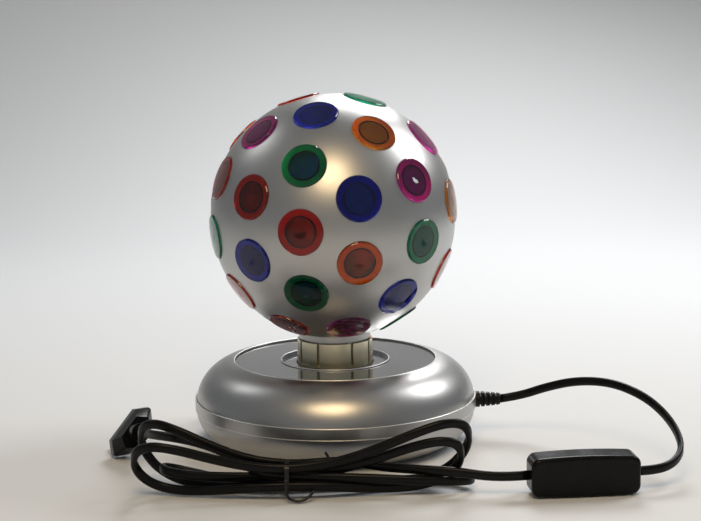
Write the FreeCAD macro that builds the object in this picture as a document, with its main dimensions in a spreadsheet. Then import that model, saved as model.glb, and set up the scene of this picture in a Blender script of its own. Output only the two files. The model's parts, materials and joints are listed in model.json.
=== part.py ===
"""Rotating motion lamp: a silver ball with coloured lenses that turns round a fixed bulb.

Frame: +Z up, origin on the floor under the centre of the round base, -Y towards the front.
Sizes are millimetres. Each one is written once, in SIZES, and everything else follows it.
"""
import FreeCAD, Part
import math
import os

import Sketcher
from FreeCAD import Placement, Rotation, Vector

SIZES = {
    # Clearances and small common sizes
    "face_gap": (0.3, "gap between faces of pieces that move past each other"),
    "part_gap": (0.1, "gap between pieces that are only put together"),
    "running_gap": (0.05, "radial gap of a shaft in its bore"),
    "plastic_wall": (2.4, "wall of the base mouldings"),
    # Base mouldings
    "cover_radius": (86.5, "outer radius of the top cover at the seam"),
    "seam_height": (29.0, "height of the seam over the floor"),
    "shoulder_radius": (63.0, "radius of the crest of the cover, just outside the disc"),
    "shoulder_height": (51.4, "height of that crest"),
    "dome_round": (26.5, "radius of the cover's rounded side"),
    "ceiling_radius": (72.5, "radius where the cover's rounded side meets its inner ceiling"),
    "disc_radius": (62.2, "radius of the flat top disc"),
    "disc_height": (50.5, "height of the flat top disc"),
    "ledge_width": (8.0, "width of the ledge that the disc lies on"),
    "well_radius": (33.0, "radius of the sunken ring round the collar"),
    "well_depth": (1.5, "depth of that ring"),
    "well_lip": (0.4, "height of the lip round the sunken ring"),
    "well_lip_width": (1.0, "width of that lip"),
    "disc_gap": (0.3, "gap round the disc"),
    "shell_radius": (87.5, "outer radius of the lower shell's band"),
    "band_height": (22.0, "height of the lower edge of that band"),
    "band_step": (0.7, "how far the band stands proud of the bowl"),
    "seam_gap": (0.3, "shadow gap at the seam"),
    "bowl_round": (21.5, "radius of the rounded side of the bowl"),
    "bowl_floor_radius": (72.0, "radius of the flat underside"),
    "foot_height": (2.0, "height of the rubber feet"),
    "foot_radius": (6.5, "radius of a rubber foot"),
    "foot_circle": (60.0, "radius of the circle that the feet stand on"),
    "foot_stem_radius": (2.5, "radius of a foot's stem"),
    "foot_stem": (3.2, "length of a foot's stem"),
    "foot_angle": (22.5, "angle of the first foot, degrees"),
    "tongue_height": (3.0, "height of the tongue inside the seam"),
    "tongue_wall": (1.6, "wall of that tongue"),
    "tongue_gap": (0.9, "gap between the tongue and the cover's inside"),
    "pillar_circle": (70.0, "radius of the circle of the four base screws"),
    "pillar_radius": (4.4, "radius of the screw pillars"),
    "pillar_split": (20.0, "height where the pillars of both mouldings meet"),
    "screw_seat": (10.0, "height of the base screws' seats"),
    # Screws
    "screw_radius": (1.5, "radius of the base and motor screws"),
    "screw_head_radius": (2.8, "radius of their heads"),
    "screw_head": (1.8, "height of their heads"),
    "base_screw_length": (16.0, "length of a base screw under its head"),
    "small_screw_radius": (1.2, "radius of the small screws"),
    "small_head_radius": (2.2, "radius of their heads"),
    "small_head": (1.3, "height of their heads"),
    "disc_screw_length": (4.0, "length of the screws that hold the disc"),
    "carrier_screw_length": (11.0, "length of the screws that hold the carrier plate"),
    "motor_screw_length": (6.0, "length of the screws that hold the motor"),
    "collar_screw_grip": (4.0, "how far the collar's screws reach into it"),
    # Carrier plate and its bearing
    "carrier_radius": (52.0, "radius of the plate that carries the works"),
    "carrier_height": (34.0, "height of its underside"),
    "carrier_wall": (3.0, "thickness of the plate"),
    "journal_radius": (15.0, "outer radius of the journal that the gear turns on"),
    "journal_wall": (2.5, "wall of the journal"),
    "journal_top": (48.6, "height of the top of the journal"),
    "boss_circle": (44.0, "radius of the circle of the three carrier bosses"),
    "boss_radius": (4.5, "radius of a carrier boss"),
    "washer_radius": (17.8, "outer radius of the thrust washer"),
    "washer_thick": (1.0, "thickness of the thrust washer"),
    "clip_radius": (17.2, "outer radius of the retaining clip"),
    "clip_thick": (1.0, "thickness of the retaining clip"),
    "clip_bite": (0.7, "depth of the clip's groove"),
    # Drive
    "gear_module": (1.0, "module of the gear pair"),
    "gear_face": (5.0, "face width of the drive gear"),
    "hub_radius": (23.0, "radius of the drive gear's hub"),
    "hub_height": (7.7, "height of the hub"),
    "web_wall": (2.6, "thickness of the gear's web"),
    "backlash": (0.25, "play between the teeth, along the pitch circle"),
    "pinion_face": (6.0, "face width of the pinion"),
    "shaft_radius": (2.0, "radius of the motor's output shaft"),
    "motor_radius": (24.5, "radius of the motor's case"),
    "motor_height": (16.0, "height of the motor's case"),
    "motor_neck_radius": (5.0, "radius of the motor's bearing neck"),
    "motor_neck": (3.0, "height of the bearing neck"),
    "ear_span": (58.0, "distance between the motor's two screws"),
    "ear_radius": (4.5, "radius of the motor's ears"),
    "ear_thick": (1.2, "thickness of the motor's mounting plate"),
    # Collar and the ball's neck
    "collar_radius": (23.3, "outer radius of the rotating collar"),
    "collar_wall": (2.6, "wall of the collar"),
    "collar_top": (64.2, "height of the collar's rim"),
    "collar_floor": (2.2, "thickness of the collar's floor"),
    "collar_bore": (17.6, "radius of the hole in the collar's floor"),
    "collar_ledge": (5.0, "height of the seat inside the collar"),
    "collar_ring_gap": (0.9, "gap round the collar in the top disc"),
    "slit_width": (1.7, "width of the slits that free the collar's tabs"),
    "tab_half_angle": (26.5, "half the angle that one tab takes, degrees"),
    "collar_screw_circle": (20.2, "radius of the circle of the collar's screws"),
    "neck_ring_radius": (22.2, "radius of the ring under the ball"),
    "neck_ring_height": (3.4, "height of that ring in front of the ball"),
    "neck_ring_gap": (1.0, "gap between the ring and the collar's rim"),
    "neck_bore": (18.2, "inner radius of the ball's neck"),
    "neck_inside": (3.2, "height of the neck inside the ball"),
    "slit_rise": (1.0, "height of the slits' lower end over the sunken ring"),
    # Ball and lenses
    "ball_radius": (75.0, "outer radius of the ball"),
    "ball_wall": (3.0, "wall of the ball"),
    "split_offset": (23.35, "distance of the ball's joint behind its centre"),
    "hoop_width": (7.4, "width of the hoop inside the ball's joint"),
    "hoop_wall": (1.4, "thickness of that hoop"),
    "lens_seat": (73.2, "distance of the flat lens seats from the ball's centre"),
    "lens_radius": (13.3, "radius of a lens"),
    "lens_seat_gap": (0.35, "gap round a lens in its seat"),
    "lens_flange": (1.8, "thickness of a lens's flange"),
    "lens_bevel": (0.5, "bevel of a lens's edge"),
    "lens_crown": (0.6, "rise of a lens's face in its middle"),
    "lens_cup_radius": (9.3, "outer radius of the skirt behind a lens"),
    "lens_cup_wall": (0.9, "wall of that skirt"),
    "lens_cup_depth": (5.0, "depth of the skirt below the seat"),
    # Lamp in the middle
    "lamp_tube_radius": (5.0, "outer radius of the hollow lamp tube"),
    "lamp_tube_wall": (1.0, "wall of the lamp tube"),
    "lamp_tube_low": (26.0, "height of its lower end"),
    "lamp_tube_top": (92.0, "height of its upper end"),
    "nut_height": (3.0, "height of a lamp tube nut"),
    "nut_corner": (8.1, "radius over the corners of such a nut"),
    "holder_radius": (13.2, "outer radius of the lampholder"),
    "holder_wall": (5.3, "wall of the lampholder"),
    "holder_low": (84.0, "height of its lower end"),
    "holder_floor": (9.0, "thickness of its floor"),
    "holder_neck": (9.0, "radius of its lower end"),
    "holder_cone": (6.0, "height of its conical end"),
    "holder_top": (117.0, "height of its rim"),
    "liner_wall": (0.6, "wall of the screw liner"),
    "liner_height": (18.0, "height of the screw liner"),
    "liner_low": (97.0, "height of the liner's lower end"),
    "tongue_width": (5.0, "width of the centre contact"),
    "tongue_thick": (0.6, "thickness of the centre contact"),
    "tongue_tip": (1.5, "radius of the centre contact's tip"),
    "bulb_cap_radius": (6.9, "radius of the bulb's screw cap"),
    "bulb_cap_height": (20.0, "height of the screw cap"),
    "bulb_cap_wall": (0.5, "wall of the screw cap"),
    "bulb_tip": (97.0, "height of the bulb's tip contact"),
    "bulb_radius": (13.0, "radius of the bulb's glass"),
    "bulb_length": (60.0, "whole length of the bulb"),
    "bulb_wall": (0.8, "wall of the bulb's glass"),
    "bulb_tip_radius": (3.0, "radius of the bulb's tip contact"),
    "bulb_neck_radius": (6.2, "radius of the glass inside the cap"),
    "bulb_light_height": (43.0, "height of the filament over the tip"),
    "bulb_stem_radius": (2.2, "radius of the glass stem inside the bulb"),
    "bulb_wire_radius": (0.3, "radius of the filament and its wires"),
    "filament_half": (5.0, "half the span of the filament"),
    # Cord and what is in the base for it
    "cord_thick": (4.6, "thickness of the cord as a round lead of the same section"),
    "cord_height": (23.3, "height of the cord's way out of the base"),
    "boot_radius": (5.0, "radius of the boot at the base"),
    "boot_tip_radius": (3.7, "radius of the boot at its tip"),
    "boot_reach": (15.6, "length of the boot outside the base"),
    "boot_collar": (2.0, "length of the boot's plain collar"),
    "boot_inside": (5.0, "length of the boot inside the base's wall"),
    "boot_neck_radius": (4.2, "radius of the boot in the wall"),
    "boot_slot": (1.1, "width of the boot's slots"),
    "boot_pitch": (3.2, "distance between the boot's slots"),
    "boot_core": (2.7, "half the thickness left between the slots"),
    "clamp_length": (10.0, "length of the inner cord clamp"),
    "clamp_place": (64.0, "distance of the clamp from the centre"),
    "clamp_height": (6.0, "height of the inner cord clamp"),
    "clamp_half_span": (8.5, "distance of the clamp's screws from the cord"),
    "block_length": (24.0, "length of the terminal block"),
    "block_width": (16.0, "width of the terminal block"),
    "block_height": (11.0, "height of the terminal block"),
    "block_place": (42.0, "distance of the terminal block from the centre"),
    "lead_thick": (2.4, "thickness of the inner leads"),
    # Switch on the cord
    "switch_length": (60.6, "length of the cord switch"),
    "switch_width": (23.4, "width of the cord switch"),
    "switch_depth": (17.0, "depth of the cord switch"),
    "switch_wall": (1.8, "wall of the switch's halves"),
    "switch_round": (5.0, "rounding of the switch's corners"),
    "switch_edge": (2.2, "rounding of the switch's edges"),
    "switch_crown": (1.2, "bulge of the switch's long sides"),
    "switch_split": (9.4, "depth of the half that holds the rocker"),
    "rocker_length": (19.0, "length of the rocker"),
    "rocker_width": (11.0, "width of the rocker"),
    "rocker_gap": (0.8, "gap round the rocker"),
    "rocker_rise": (2.2, "how far the rocker's high end stands out"),
    "rocker_pin_radius": (1.2, "radius of the rocker's pin"),
    "rocker_throw": (12.0, "angle that the rocker tips through, degrees"),
    # Plug
    "plug_width": (35.3, "width of the plug's face"),
    "plug_thick": (13.7, "thickness of the plug's face"),
    "plug_depth": (17.0, "depth of the plug's body"),
    "plug_corner": (6.0, "cut of the plug's corners"),
    "plug_boss_radius": (5.5, "radius of the plug's cord boss"),
    "plug_boss": (9.0, "length of the plug's cord boss"),
    "pin_radius": (2.0, "radius of a plug pin"),
    "pin_length": (19.0, "length of a plug pin"),
    "pin_spacing": (18.6, "distance between the plug's pins"),
    "sleeve_length": (10.0, "length of the insulating sleeve on a pin"),
    "sleeve_wall": (0.15, "how much thinner a pin is under its sleeve"),
    # Tie round the hank
    "tie_width": (2.4, "width of the tie"),
    "tie_thick": (0.6, "thickness of the tie"),
}

GEAR_TEETH = 60
PINION_TEETH = 12

# Lenses stand in rings round an axis that leaves the ball's centre level, to the front left.
RING_STEP = 30.0
LENS_TURN = -14.6
LENS_NAMES = ["red", "orange", "green", "blue", "magenta"]
LENS_COLOURS = {
    0: ["red"],
    1: ["green", "blue", "orange", "green", "blue", "red"],
    2: ["blue", "orange", "magenta", "green", "blue", "magenta",
        "red", "red", "green", "red", "magenta"],
    3: ["green", "magenta", "orange", "red", "green", None,
        "blue", "orange", "magenta", "red", "red"],
    4: ["orange", "blue", "red", "green", "magenta", "orange",
        "blue", "green", "orange", "magenta", "green"],
    5: ["red", "green", "blue", "magenta", "orange", "blue"],
    6: ["green"],
}


class Size:
    """A length with its value and the expression that gives it, so that both stay tied."""

    def __init__(self, value, text):
        self.value = float(value)
        self.text = text

    def _join(self, other, sign, result, swap=False):
        text = other.text if isinstance(other, Size) else repr(float(other))
        first, second = (text, self.text) if swap else (self.text, text)
        return Size(result, "(%s %s %s)" % (first, sign, second))

    def __add__(self, other):
        return self._join(other, "+", self.value + float(other))

    def __radd__(self, other):
        return self._join(other, "+", float(other) + self.value, swap=True)

    def __sub__(self, other):
        return self._join(other, "-", self.value - float(other))

    def __rsub__(self, other):
        return self._join(other, "-", float(other) - self.value, swap=True)

    def __mul__(self, other):
        return self._join(other, "*", self.value * float(other))

    def __rmul__(self, other):
        return self._join(other, "*", float(other) * self.value, swap=True)

    def __truediv__(self, other):
        return self._join(other, "/", self.value / float(other))

    def __neg__(self):
        return Size(-self.value, "(0 - %s)" % self.text)

    def __float__(self):
        return self.value


def root(size):
    """Square root of a size."""
    return Size(math.sqrt(size.value), "sqrt(%s)" % size.text)


def leg(hypotenuse, other):
    """Second leg of a right-angled triangle."""
    return root(hypotenuse * hypotenuse - other * other)


doc = FreeCAD.newDocument("rotating_motion_lamp")
sheet = doc.addObject("Spreadsheet::Sheet", "sizes")
for row, (alias, (value, note)) in enumerate(SIZES.items(), start=1):
    sheet.set("A%d" % row, alias)
    sheet.set("B%d" % row, str(value))
    sheet.set("C%d" % row, note)
    sheet.setAlias("B%d" % row, alias)
doc.recompute()


def size(alias):
    """The named size from the sheet."""
    return Size(sheet.get(alias), "sizes." + alias)


def bind(obj, prop, value):
    """Ties a property to the sheet, or sets it where it is a plain number."""
    if isinstance(value, Size):
        obj.setExpression(prop, value.text)
    else:
        setattr(obj, prop, value)


def place(obj, at, turn=None):
    """Puts an object at a place given in sizes, turned by a rotation."""
    obj.Placement = Placement(Vector(*[float(value) for value in at]), turn or Rotation())
    for axis, value in zip("xyz", at):
        if isinstance(value, Size):
            obj.setExpression("Placement.Base." + axis, value.text)
    return obj


ALONG_X = Rotation(Vector(0, 1, 0), 90)
ALONG_Y = Rotation(Vector(1, 0, 0), -90)
ALONG_MINUS_Y = Rotation(Vector(1, 0, 0), 90)


def cylinder(name, radius, height, at=(0, 0, 0), turn=None):
    obj = doc.addObject("Part::Cylinder", name)
    bind(obj, "Radius", radius)
    bind(obj, "Height", height)
    return place(obj, at, turn)


def cone(name, low_radius, high_radius, height, at=(0, 0, 0), turn=None):
    obj = doc.addObject("Part::Cone", name)
    bind(obj, "Radius1", low_radius)
    bind(obj, "Radius2", high_radius)
    bind(obj, "Height", height)
    return place(obj, at, turn)


def ball(name, radius, at=(0, 0, 0)):
    obj = doc.addObject("Part::Sphere", name)
    bind(obj, "Radius", radius)
    return place(obj, at)


def block(name, length, width, height, at=(0, 0, 0), turn=None):
    """A box whose place is the middle of its underside."""
    obj = doc.addObject("Part::Box", name)
    bind(obj, "Length", length)
    bind(obj, "Width", width)
    bind(obj, "Height", height)
    corner = [at[0] - length / 2, at[1] - width / 2, at[2]]
    return place(obj, corner, turn)


def hexagon(name, corner_radius, height, at=(0, 0, 0)):
    obj = doc.addObject("Part::Prism", name)
    obj.Polygon = 6
    bind(obj, "Circumradius", corner_radius)
    bind(obj, "Height", height)
    return place(obj, at)


def cut(name, base, *tools):
    """The base less its tools, one cut after another."""
    for tool in tools:
        obj = doc.addObject("Part::Cut", name)
        obj.Base = base
        obj.Tool = tool
        base = obj
    return base


def fuse(name, *parts):
    obj = doc.addObject("Part::MultiFuse", name)
    obj.Shapes = list(parts)
    return obj


def common(name, *parts):
    obj = doc.addObject("Part::MultiCommon", name)
    obj.Shapes = list(parts)
    return obj


def group(name, parts):
    """Separate solids of one kind kept together."""
    obj = doc.addObject("Part::Compound", name)
    obj.Links = list(parts)
    return obj


def feature(name, shape):
    """A shape worked out from the sheet, where no ready object fits."""
    obj = doc.addObject("Part::Feature", name)
    obj.Shape = shape
    return obj


def arc_centre(start, end, radius, bulge):
    """Centre of an arc between two points; bulge 1 turns left on the way, -1 right."""
    middle = (start + end) * 0.5
    half = (end - start) * 0.5
    rise = math.sqrt(max(radius * radius - half.Length * half.Length, 0.0))
    side = Vector(-half.y, half.x, 0).normalize()
    return middle + side * (rise * bulge)


def turned(name, outline):
    """A body turned about the Z axis.

    The outline is a list of corners (radius, height). A corner (radius, height, round, bulge)
    is reached along an arc of that radius.
    """
    body = doc.addObject("PartDesign::Body", name)
    sketch = body.newObject("Sketcher::SketchObject", name + "_outline")
    plane = next(item for item in body.Origin.OriginFeatures if item.Role == "XZ_Plane")
    sketch.AttachmentSupport = (plane, [""])
    sketch.MapMode = "FlatFace"
    corners = [Vector(float(corner[0]), float(corner[1]), 0) for corner in outline]
    ends = []
    for index, corner in enumerate(outline):
        start, end = corners[index - 1], corners[index]
        if len(corner) == 2:
            edge = sketch.addGeometry(Part.LineSegment(start, end), False)
            ends.append((edge, 1, 2))
            continue
        radius, bulge = corner[2], corner[3]
        centre = arc_centre(start, end, float(radius), bulge)
        circle = Part.Circle(centre, Vector(0, 0, 1), float(radius))
        first, last = (start, end) if bulge > 0 else (end, start)
        angles = [math.atan2(point.y - centre.y, point.x - centre.x) for point in (first, last)]
        edge = sketch.addGeometry(Part.ArcOfCircle(circle, *angles), False)
        ends.append((edge, 1, 2) if bulge > 0 else (edge, 2, 1))
        rule = sketch.addConstraint(Sketcher.Constraint("Radius", edge, float(radius)))
        tie(sketch, rule, "round%d" % index, radius)
    for index, corner in enumerate(outline):
        edge, _, last = ends[index]
        following = ends[(index + 1) % len(ends)]
        sketch.addConstraint(Sketcher.Constraint("Coincident", edge, last, following[0], following[1]))
        if float(corner[0]) == 0:
            sketch.addConstraint(Sketcher.Constraint("PointOnObject", edge, last, -2))
        else:
            rule = sketch.addConstraint(
                Sketcher.Constraint("DistanceX", -1, 1, edge, last, float(corner[0])))
            tie(sketch, rule, "radius%d" % index, corner[0])
        rule = sketch.addConstraint(
            Sketcher.Constraint("DistanceY", -1, 1, edge, last, float(corner[1])))
        tie(sketch, rule, "height%d" % index, corner[1])
    turn = body.newObject("PartDesign::Revolution", name + "_turn")
    turn.Profile = sketch
    turn.ReferenceAxis = (sketch, ["V_Axis"])
    turn.Angle = 360
    sketch.Visibility = False
    return body


def tie(sketch, rule, name, value):
    """Names a constraint and ties it to the sheet."""
    sketch.renameConstraint(rule, name)
    if isinstance(value, Size):
        sketch.setExpression("Constraints." + name, value.text)


def ring_places(count, radius, first_angle=0.0):
    """Places on a circle: (x, y, angle in degrees)."""
    places = []
    for index in range(count):
        angle = first_angle + 360.0 * index / count
        turn = math.radians(angle)
        places.append((radius * math.cos(turn), radius * math.sin(turn), angle))
    return places


nodes = []


def node(name, obj):
    """Marks a finished piece: its label names its file."""
    obj.Label = name
    nodes.append(obj)
    return obj


# Sizes that follow from others
face_gap = size("face_gap")
part_gap = size("part_gap")
running_gap = size("running_gap")
plastic_wall = size("plastic_wall")
seam_height = size("seam_height")
seam_low = seam_height - size("seam_gap")
cover_inner = size("cover_radius") - plastic_wall
disc_top = size("disc_height")
disc_wall = plastic_wall - part_gap
disc_low = disc_top - disc_wall
ledge_top = disc_low - part_gap
ledge_low = ledge_top - plastic_wall
ledge_inner = size("disc_radius") - size("ledge_width")
ledge_circle = size("disc_radius") - size("ledge_width") / 2
well_floor = disc_top - size("well_depth")
collar_hole = size("collar_radius") + size("collar_ring_gap")
shell_floor = size("foot_height") + plastic_wall
band_inner = size("shell_radius") - plastic_wall
tongue_outer = cover_inner - size("tongue_gap")
tongue_inner = tongue_outer - size("tongue_wall")
carrier_low = size("carrier_height")
carrier_top = carrier_low + size("carrier_wall")
gear_low = carrier_top + size("washer_thick") + face_gap
gear_top = gear_low + size("hub_height")
gear_pitch = size("gear_module") * (GEAR_TEETH / 2.0)
pinion_pitch = size("gear_module") * (PINION_TEETH / 2.0)
pinion_tip = pinion_pitch + size("gear_module")
pinion_x = -(gear_pitch + pinion_pitch)
plate_top = carrier_low - size("motor_neck")
plate_low = plate_top - size("ear_thick")
screw_hole = size("screw_radius") + running_gap
small_hole = size("small_screw_radius") + running_gap
collar_inner = size("collar_radius") - size("collar_wall")
collar_seat = gear_top + size("collar_floor") + size("collar_ledge")
spigot_low = collar_seat + face_gap
spigot_radius = collar_inner - face_gap
ring_low = size("collar_top") + size("neck_ring_gap")
ring_top = ring_low + size("neck_ring_height")
ball_height = ring_top + leg(size("ball_radius"), size("neck_ring_radius"))
tube_hole = size("lamp_tube_radius") + running_gap
holder_inner = size("holder_radius") - size("holder_wall")
holder_floor = size("holder_low") + size("holder_floor")
liner_outer = holder_inner - running_gap
cord_radius = size("cord_thick") / 2
boot_seat = band_inner - size("band_step") * 2
cord_height = size("cord_height")
pedestal_top = cord_height - cord_radius
block_low = cord_height - size("block_height") / 2


# Base mouldings
def make_cover():
    """The rounded top cover with its ledge and four screw pillars."""
    pocket = size("disc_radius") + size("disc_gap")
    outside = turned("cover_outside", [
        (0, seam_height),
        (size("cover_radius"), seam_height),
        (size("shoulder_radius"), size("shoulder_height"), size("dome_round"), 1),
        (pocket, size("shoulder_height")),
        (pocket, ledge_top),
        (ledge_inner, ledge_top),
        (ledge_inner, ledge_low),
        (0, ledge_low),
    ])
    inside = turned("cover_inside", [
        (0, seam_height - 1),
        (cover_inner, seam_height - 1),
        (cover_inner, seam_height),
        (size("ceiling_radius"), ledge_low, size("dome_round") - plastic_wall, 1),
        (0, ledge_low),
    ])
    low = size("pillar_split") + part_gap
    bite = size("screw_seat") + size("base_screw_length") - size("pillar_split") + 1
    pillars = []
    pilots = []
    for x, y, _ in ring_places(4, size("pillar_circle"), 45.0):
        height = ledge_low - low + plastic_wall / 4
        pillars.append(cylinder("cover_pillar", size("pillar_radius"), height, (x, y, low)))
        pilots.append(cylinder("cover_pilot", screw_hole, bite, (x, y, low)))
    holes = []
    for x, y, _ in ring_places(3, ledge_circle, 60.0):
        holes.append(cylinder("ledge_hole", small_hole, plastic_wall * 2, (x, y, ledge_low - 1)))
    shell = cut("cover_shell", outside, inside)
    whole = fuse("cover_whole", shell, *pillars)
    return node("base_top_cover",
                cut("cover", whole, group("cover_pilots", pilots), group("ledge_holes", holes)))


def make_lower_shell():
    """The bowl under the cover, with bosses, pedestals and the cord's way out."""
    bowl_top = size("shell_radius") - size("band_step")
    rim = seam_height + size("tongue_height")
    # The tongue's root is a ledge under the seam, or over it where the tongue stands further out
    root = seam_low - plastic_wall
    shelf = seam_low - plastic_wall / 2
    if float(tongue_inner) > float(band_inner):
        root = seam_low + plastic_wall
        shelf = root
    outside = turned("shell_outside", [
        (0, size("foot_height")),
        (size("bowl_floor_radius"), size("foot_height")),
        (bowl_top, size("band_height"), size("bowl_round"), 1),
        (size("shell_radius"), size("band_height")),
        (size("shell_radius"), seam_low),
        (tongue_outer, seam_low),
        (tongue_outer, rim),
        (0, rim),
    ])
    inside = turned("shell_inside", [
        (0, shell_floor),
        (size("bowl_floor_radius") - plastic_wall / 4, shell_floor),
        (band_inner - size("band_step"), size("band_height"), size("bowl_round") - plastic_wall, 1),
        (band_inner, size("band_height")),
        (band_inner, root),
        (tongue_inner, shelf),
        (tongue_inner, rim + 1),
        (0, rim + 1),
    ])
    low = shell_floor - plastic_wall / 4
    pillars = []
    seats = []
    holes = []
    for x, y, _ in ring_places(4, size("pillar_circle"), 45.0):
        height = size("pillar_split") - low
        pillars.append(cylinder("shell_pillar", size("pillar_radius"), height, (x, y, low)))
        seat_radius = size("screw_head_radius") + face_gap
        seats.append(cylinder("shell_seat", seat_radius, size("screw_seat"), (x, y, 0)))
        holes.append(cylinder("shell_hole", screw_hole, size("pillar_split"), (x, y, 1)))
    feet = []
    for x, y, _ in foot_places():
        radius = size("foot_stem_radius") + part_gap
        feet.append(cylinder("foot_hole", radius, plastic_wall * 2, (x, y, size("foot_height") - 1)))
    width = (size("clamp_half_span") + size("screw_head_radius")) * 2
    clamp_stand = block("clamp_stand", size("clamp_length"), width, pedestal_top - low,
                        (size("clamp_place"), 0, low))
    stand = block("block_stand", size("block_length"), size("block_width"), block_low - low,
                  (size("block_place"), 0, low))
    exit_hole = cylinder("exit_hole", size("boot_neck_radius") + part_gap,
                         plastic_wall * 4, (band_inner - plastic_wall, 0, cord_height), ALONG_X)
    clamp_holes = []
    for side in (-1, 1):
        place_y = size("clamp_half_span") * side
        clamp_holes.append(cylinder("clamp_pilot", small_hole, size("clamp_height"), (
            size("clamp_place"), place_y, pedestal_top - size("clamp_height") + part_gap)))
    shell = cut("shell_hollow", outside, inside)
    whole = fuse("shell_whole", shell, clamp_stand, stand, *pillars)
    return node("base_lower_shell", cut(
        "shell", whole, group("shell_seats", seats), group("shell_holes", holes),
        group("foot_holes", feet), exit_hole, group("clamp_pilots", clamp_holes)))


def foot_places():
    return ring_places(4, size("foot_circle"), float(size("foot_angle")))


def make_top_disc():
    """The flat disc in the cover, sunken round the collar, with three bosses below."""
    lip = size("well_radius") + size("well_lip_width")
    well_low = well_floor - disc_wall
    plate = turned("disc_plate", [
        (collar_hole, well_low),
        (lip + disc_wall, well_low),
        (lip + disc_wall, disc_low),
        (size("disc_radius"), disc_low),
        (size("disc_radius"), disc_top),
        (lip, disc_top),
        (lip, disc_top + size("well_lip")),
        (size("well_radius"), disc_top + size("well_lip")),
        (size("well_radius"), well_floor),
        (collar_hole, well_floor),
    ])
    bosses = []
    pilots = []
    for x, y, _ in ring_places(3, size("boss_circle")):
        height = disc_low - carrier_top + disc_wall / 4
        bosses.append(cylinder("disc_boss", size("boss_radius"), height, (x, y, carrier_top)))
        depth = size("carrier_screw_length") - size("carrier_wall") + 1
        pilots.append(cylinder("disc_pilot", screw_hole, depth, (x, y, carrier_top)))
    for x, y, _ in ring_places(3, ledge_circle, 60.0):
        depth = size("disc_screw_length") - plastic_wall
        pilots.append(cylinder("ledge_pilot", small_hole, depth, (x, y, disc_low)))
    whole = fuse("disc_whole", plate, *bosses)
    return node("top_disc", cut("disc", whole, group("disc_pilots", pilots)))


def make_feet():
    feet = []
    for x, y, _ in foot_places():
        pad = cylinder("foot_pad", size("foot_radius"), size("foot_height"), (x, y, 0))
        stem = cylinder("foot_stem", size("foot_stem_radius"),
                        size("foot_height") + size("foot_stem"), (x, y, 0))
        feet.append(fuse("foot", pad, stem))
    return node("rubber_feet", group("feet", feet))


def screw(name, at, radius, length, head_radius, head_height, upwards=True):
    """A screw whose head's inner face is at the given place."""
    x, y, seat = at
    if upwards:
        shank = cylinder(name, radius, length, (x, y, seat))
        head = cylinder(name, head_radius, head_height, (x, y, seat - head_height))
    else:
        shank = cylinder(name, radius, length, (x, y, seat - length))
        head = cylinder(name, head_radius, head_height, (x, y, seat))
    return fuse(name, head, shank)


def large_screws(label, places, seat, length):
    screws = [screw(label + "_piece", (x, y, seat), size("screw_radius"), length,
                    size("screw_head_radius"), size("screw_head")) for x, y, _ in places]
    return node(label, group(label + "_group", screws))


def small_screws(label, places, seat, length, upwards=True):
    screws = [screw(label + "_piece", (x, y, seat), size("small_screw_radius"), length,
                    size("small_head_radius"), size("small_head"), upwards) for x, y, _ in places]
    return node(label, group(label + "_group", screws))


# Carrier plate and drive
def motor_ears():
    half = size("ear_span") / 2
    return [(pinion_x, -half, 0.0), (pinion_x, half, 0.0)]


def make_carrier():
    """The plate that carries the works, with the journal that the gear turns on."""
    groove_low = gear_top + face_gap - running_gap
    groove_top = groove_low + size("clip_thick") + running_gap * 2
    groove = size("journal_radius") - size("clip_bite")
    plate = turned("carrier_plate_body", [
        (tube_hole, carrier_low),
        (size("carrier_radius"), carrier_low),
        (size("carrier_radius"), carrier_top),
        (size("journal_radius"), carrier_top),
        (size("journal_radius"), groove_low),
        (groove, groove_low),
        (groove, groove_top),
        (size("journal_radius"), groove_top),
        (size("journal_radius"), size("journal_top")),
        (size("journal_radius") - size("journal_wall"), size("journal_top")),
        (size("journal_radius") - size("journal_wall"), carrier_top),
        (tube_hole, carrier_top),
    ])
    posts = [cylinder("motor_post", size("ear_radius"), size("motor_neck") + size("carrier_wall") / 2,
                      (x, y, plate_top)) for x, y, _ in motor_ears()]
    depth = size("motor_screw_length") - size("ear_thick") + part_gap
    holes = [cylinder("motor_pilot", screw_hole, depth, (x, y, plate_top)) for x, y, _ in motor_ears()]
    for x, y, _ in ring_places(3, size("boss_circle")):
        holes.append(cylinder("carrier_hole", screw_hole, size("carrier_wall") * 2,
                              (x, y, carrier_low - 1)))
    way = cylinder("pinion_way", pinion_tip + 1, size("carrier_wall") * 2, (pinion_x, 0, carrier_low - 1))
    whole = fuse("carrier_whole", plate, *posts)
    return node("carrier_plate", cut("carrier", whole, way, group("carrier_holes", holes)))


def ring(name, inner, outer, low, height, at=(0, 0)):
    """A plain ring standing on the given height."""
    body = cylinder(name + "_body", outer, height, (at[0], at[1], low))
    bore = cylinder(name + "_bore", inner, height + 2, (at[0], at[1], low - 1))
    return cut(name, body, bore)


def tooth_half_angle(radius, pitch_radius, teeth, backlash):
    """Half the angle that an involute tooth takes at a radius."""
    pressure = math.radians(20.0)
    base = pitch_radius * math.cos(pressure)
    here = math.acos(min(1.0, base / radius))
    at_pitch = math.pi / (2 * teeth) - backlash / (4 * pitch_radius)
    return at_pitch + (math.tan(pressure) - pressure) - (math.tan(here) - here)


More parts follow.
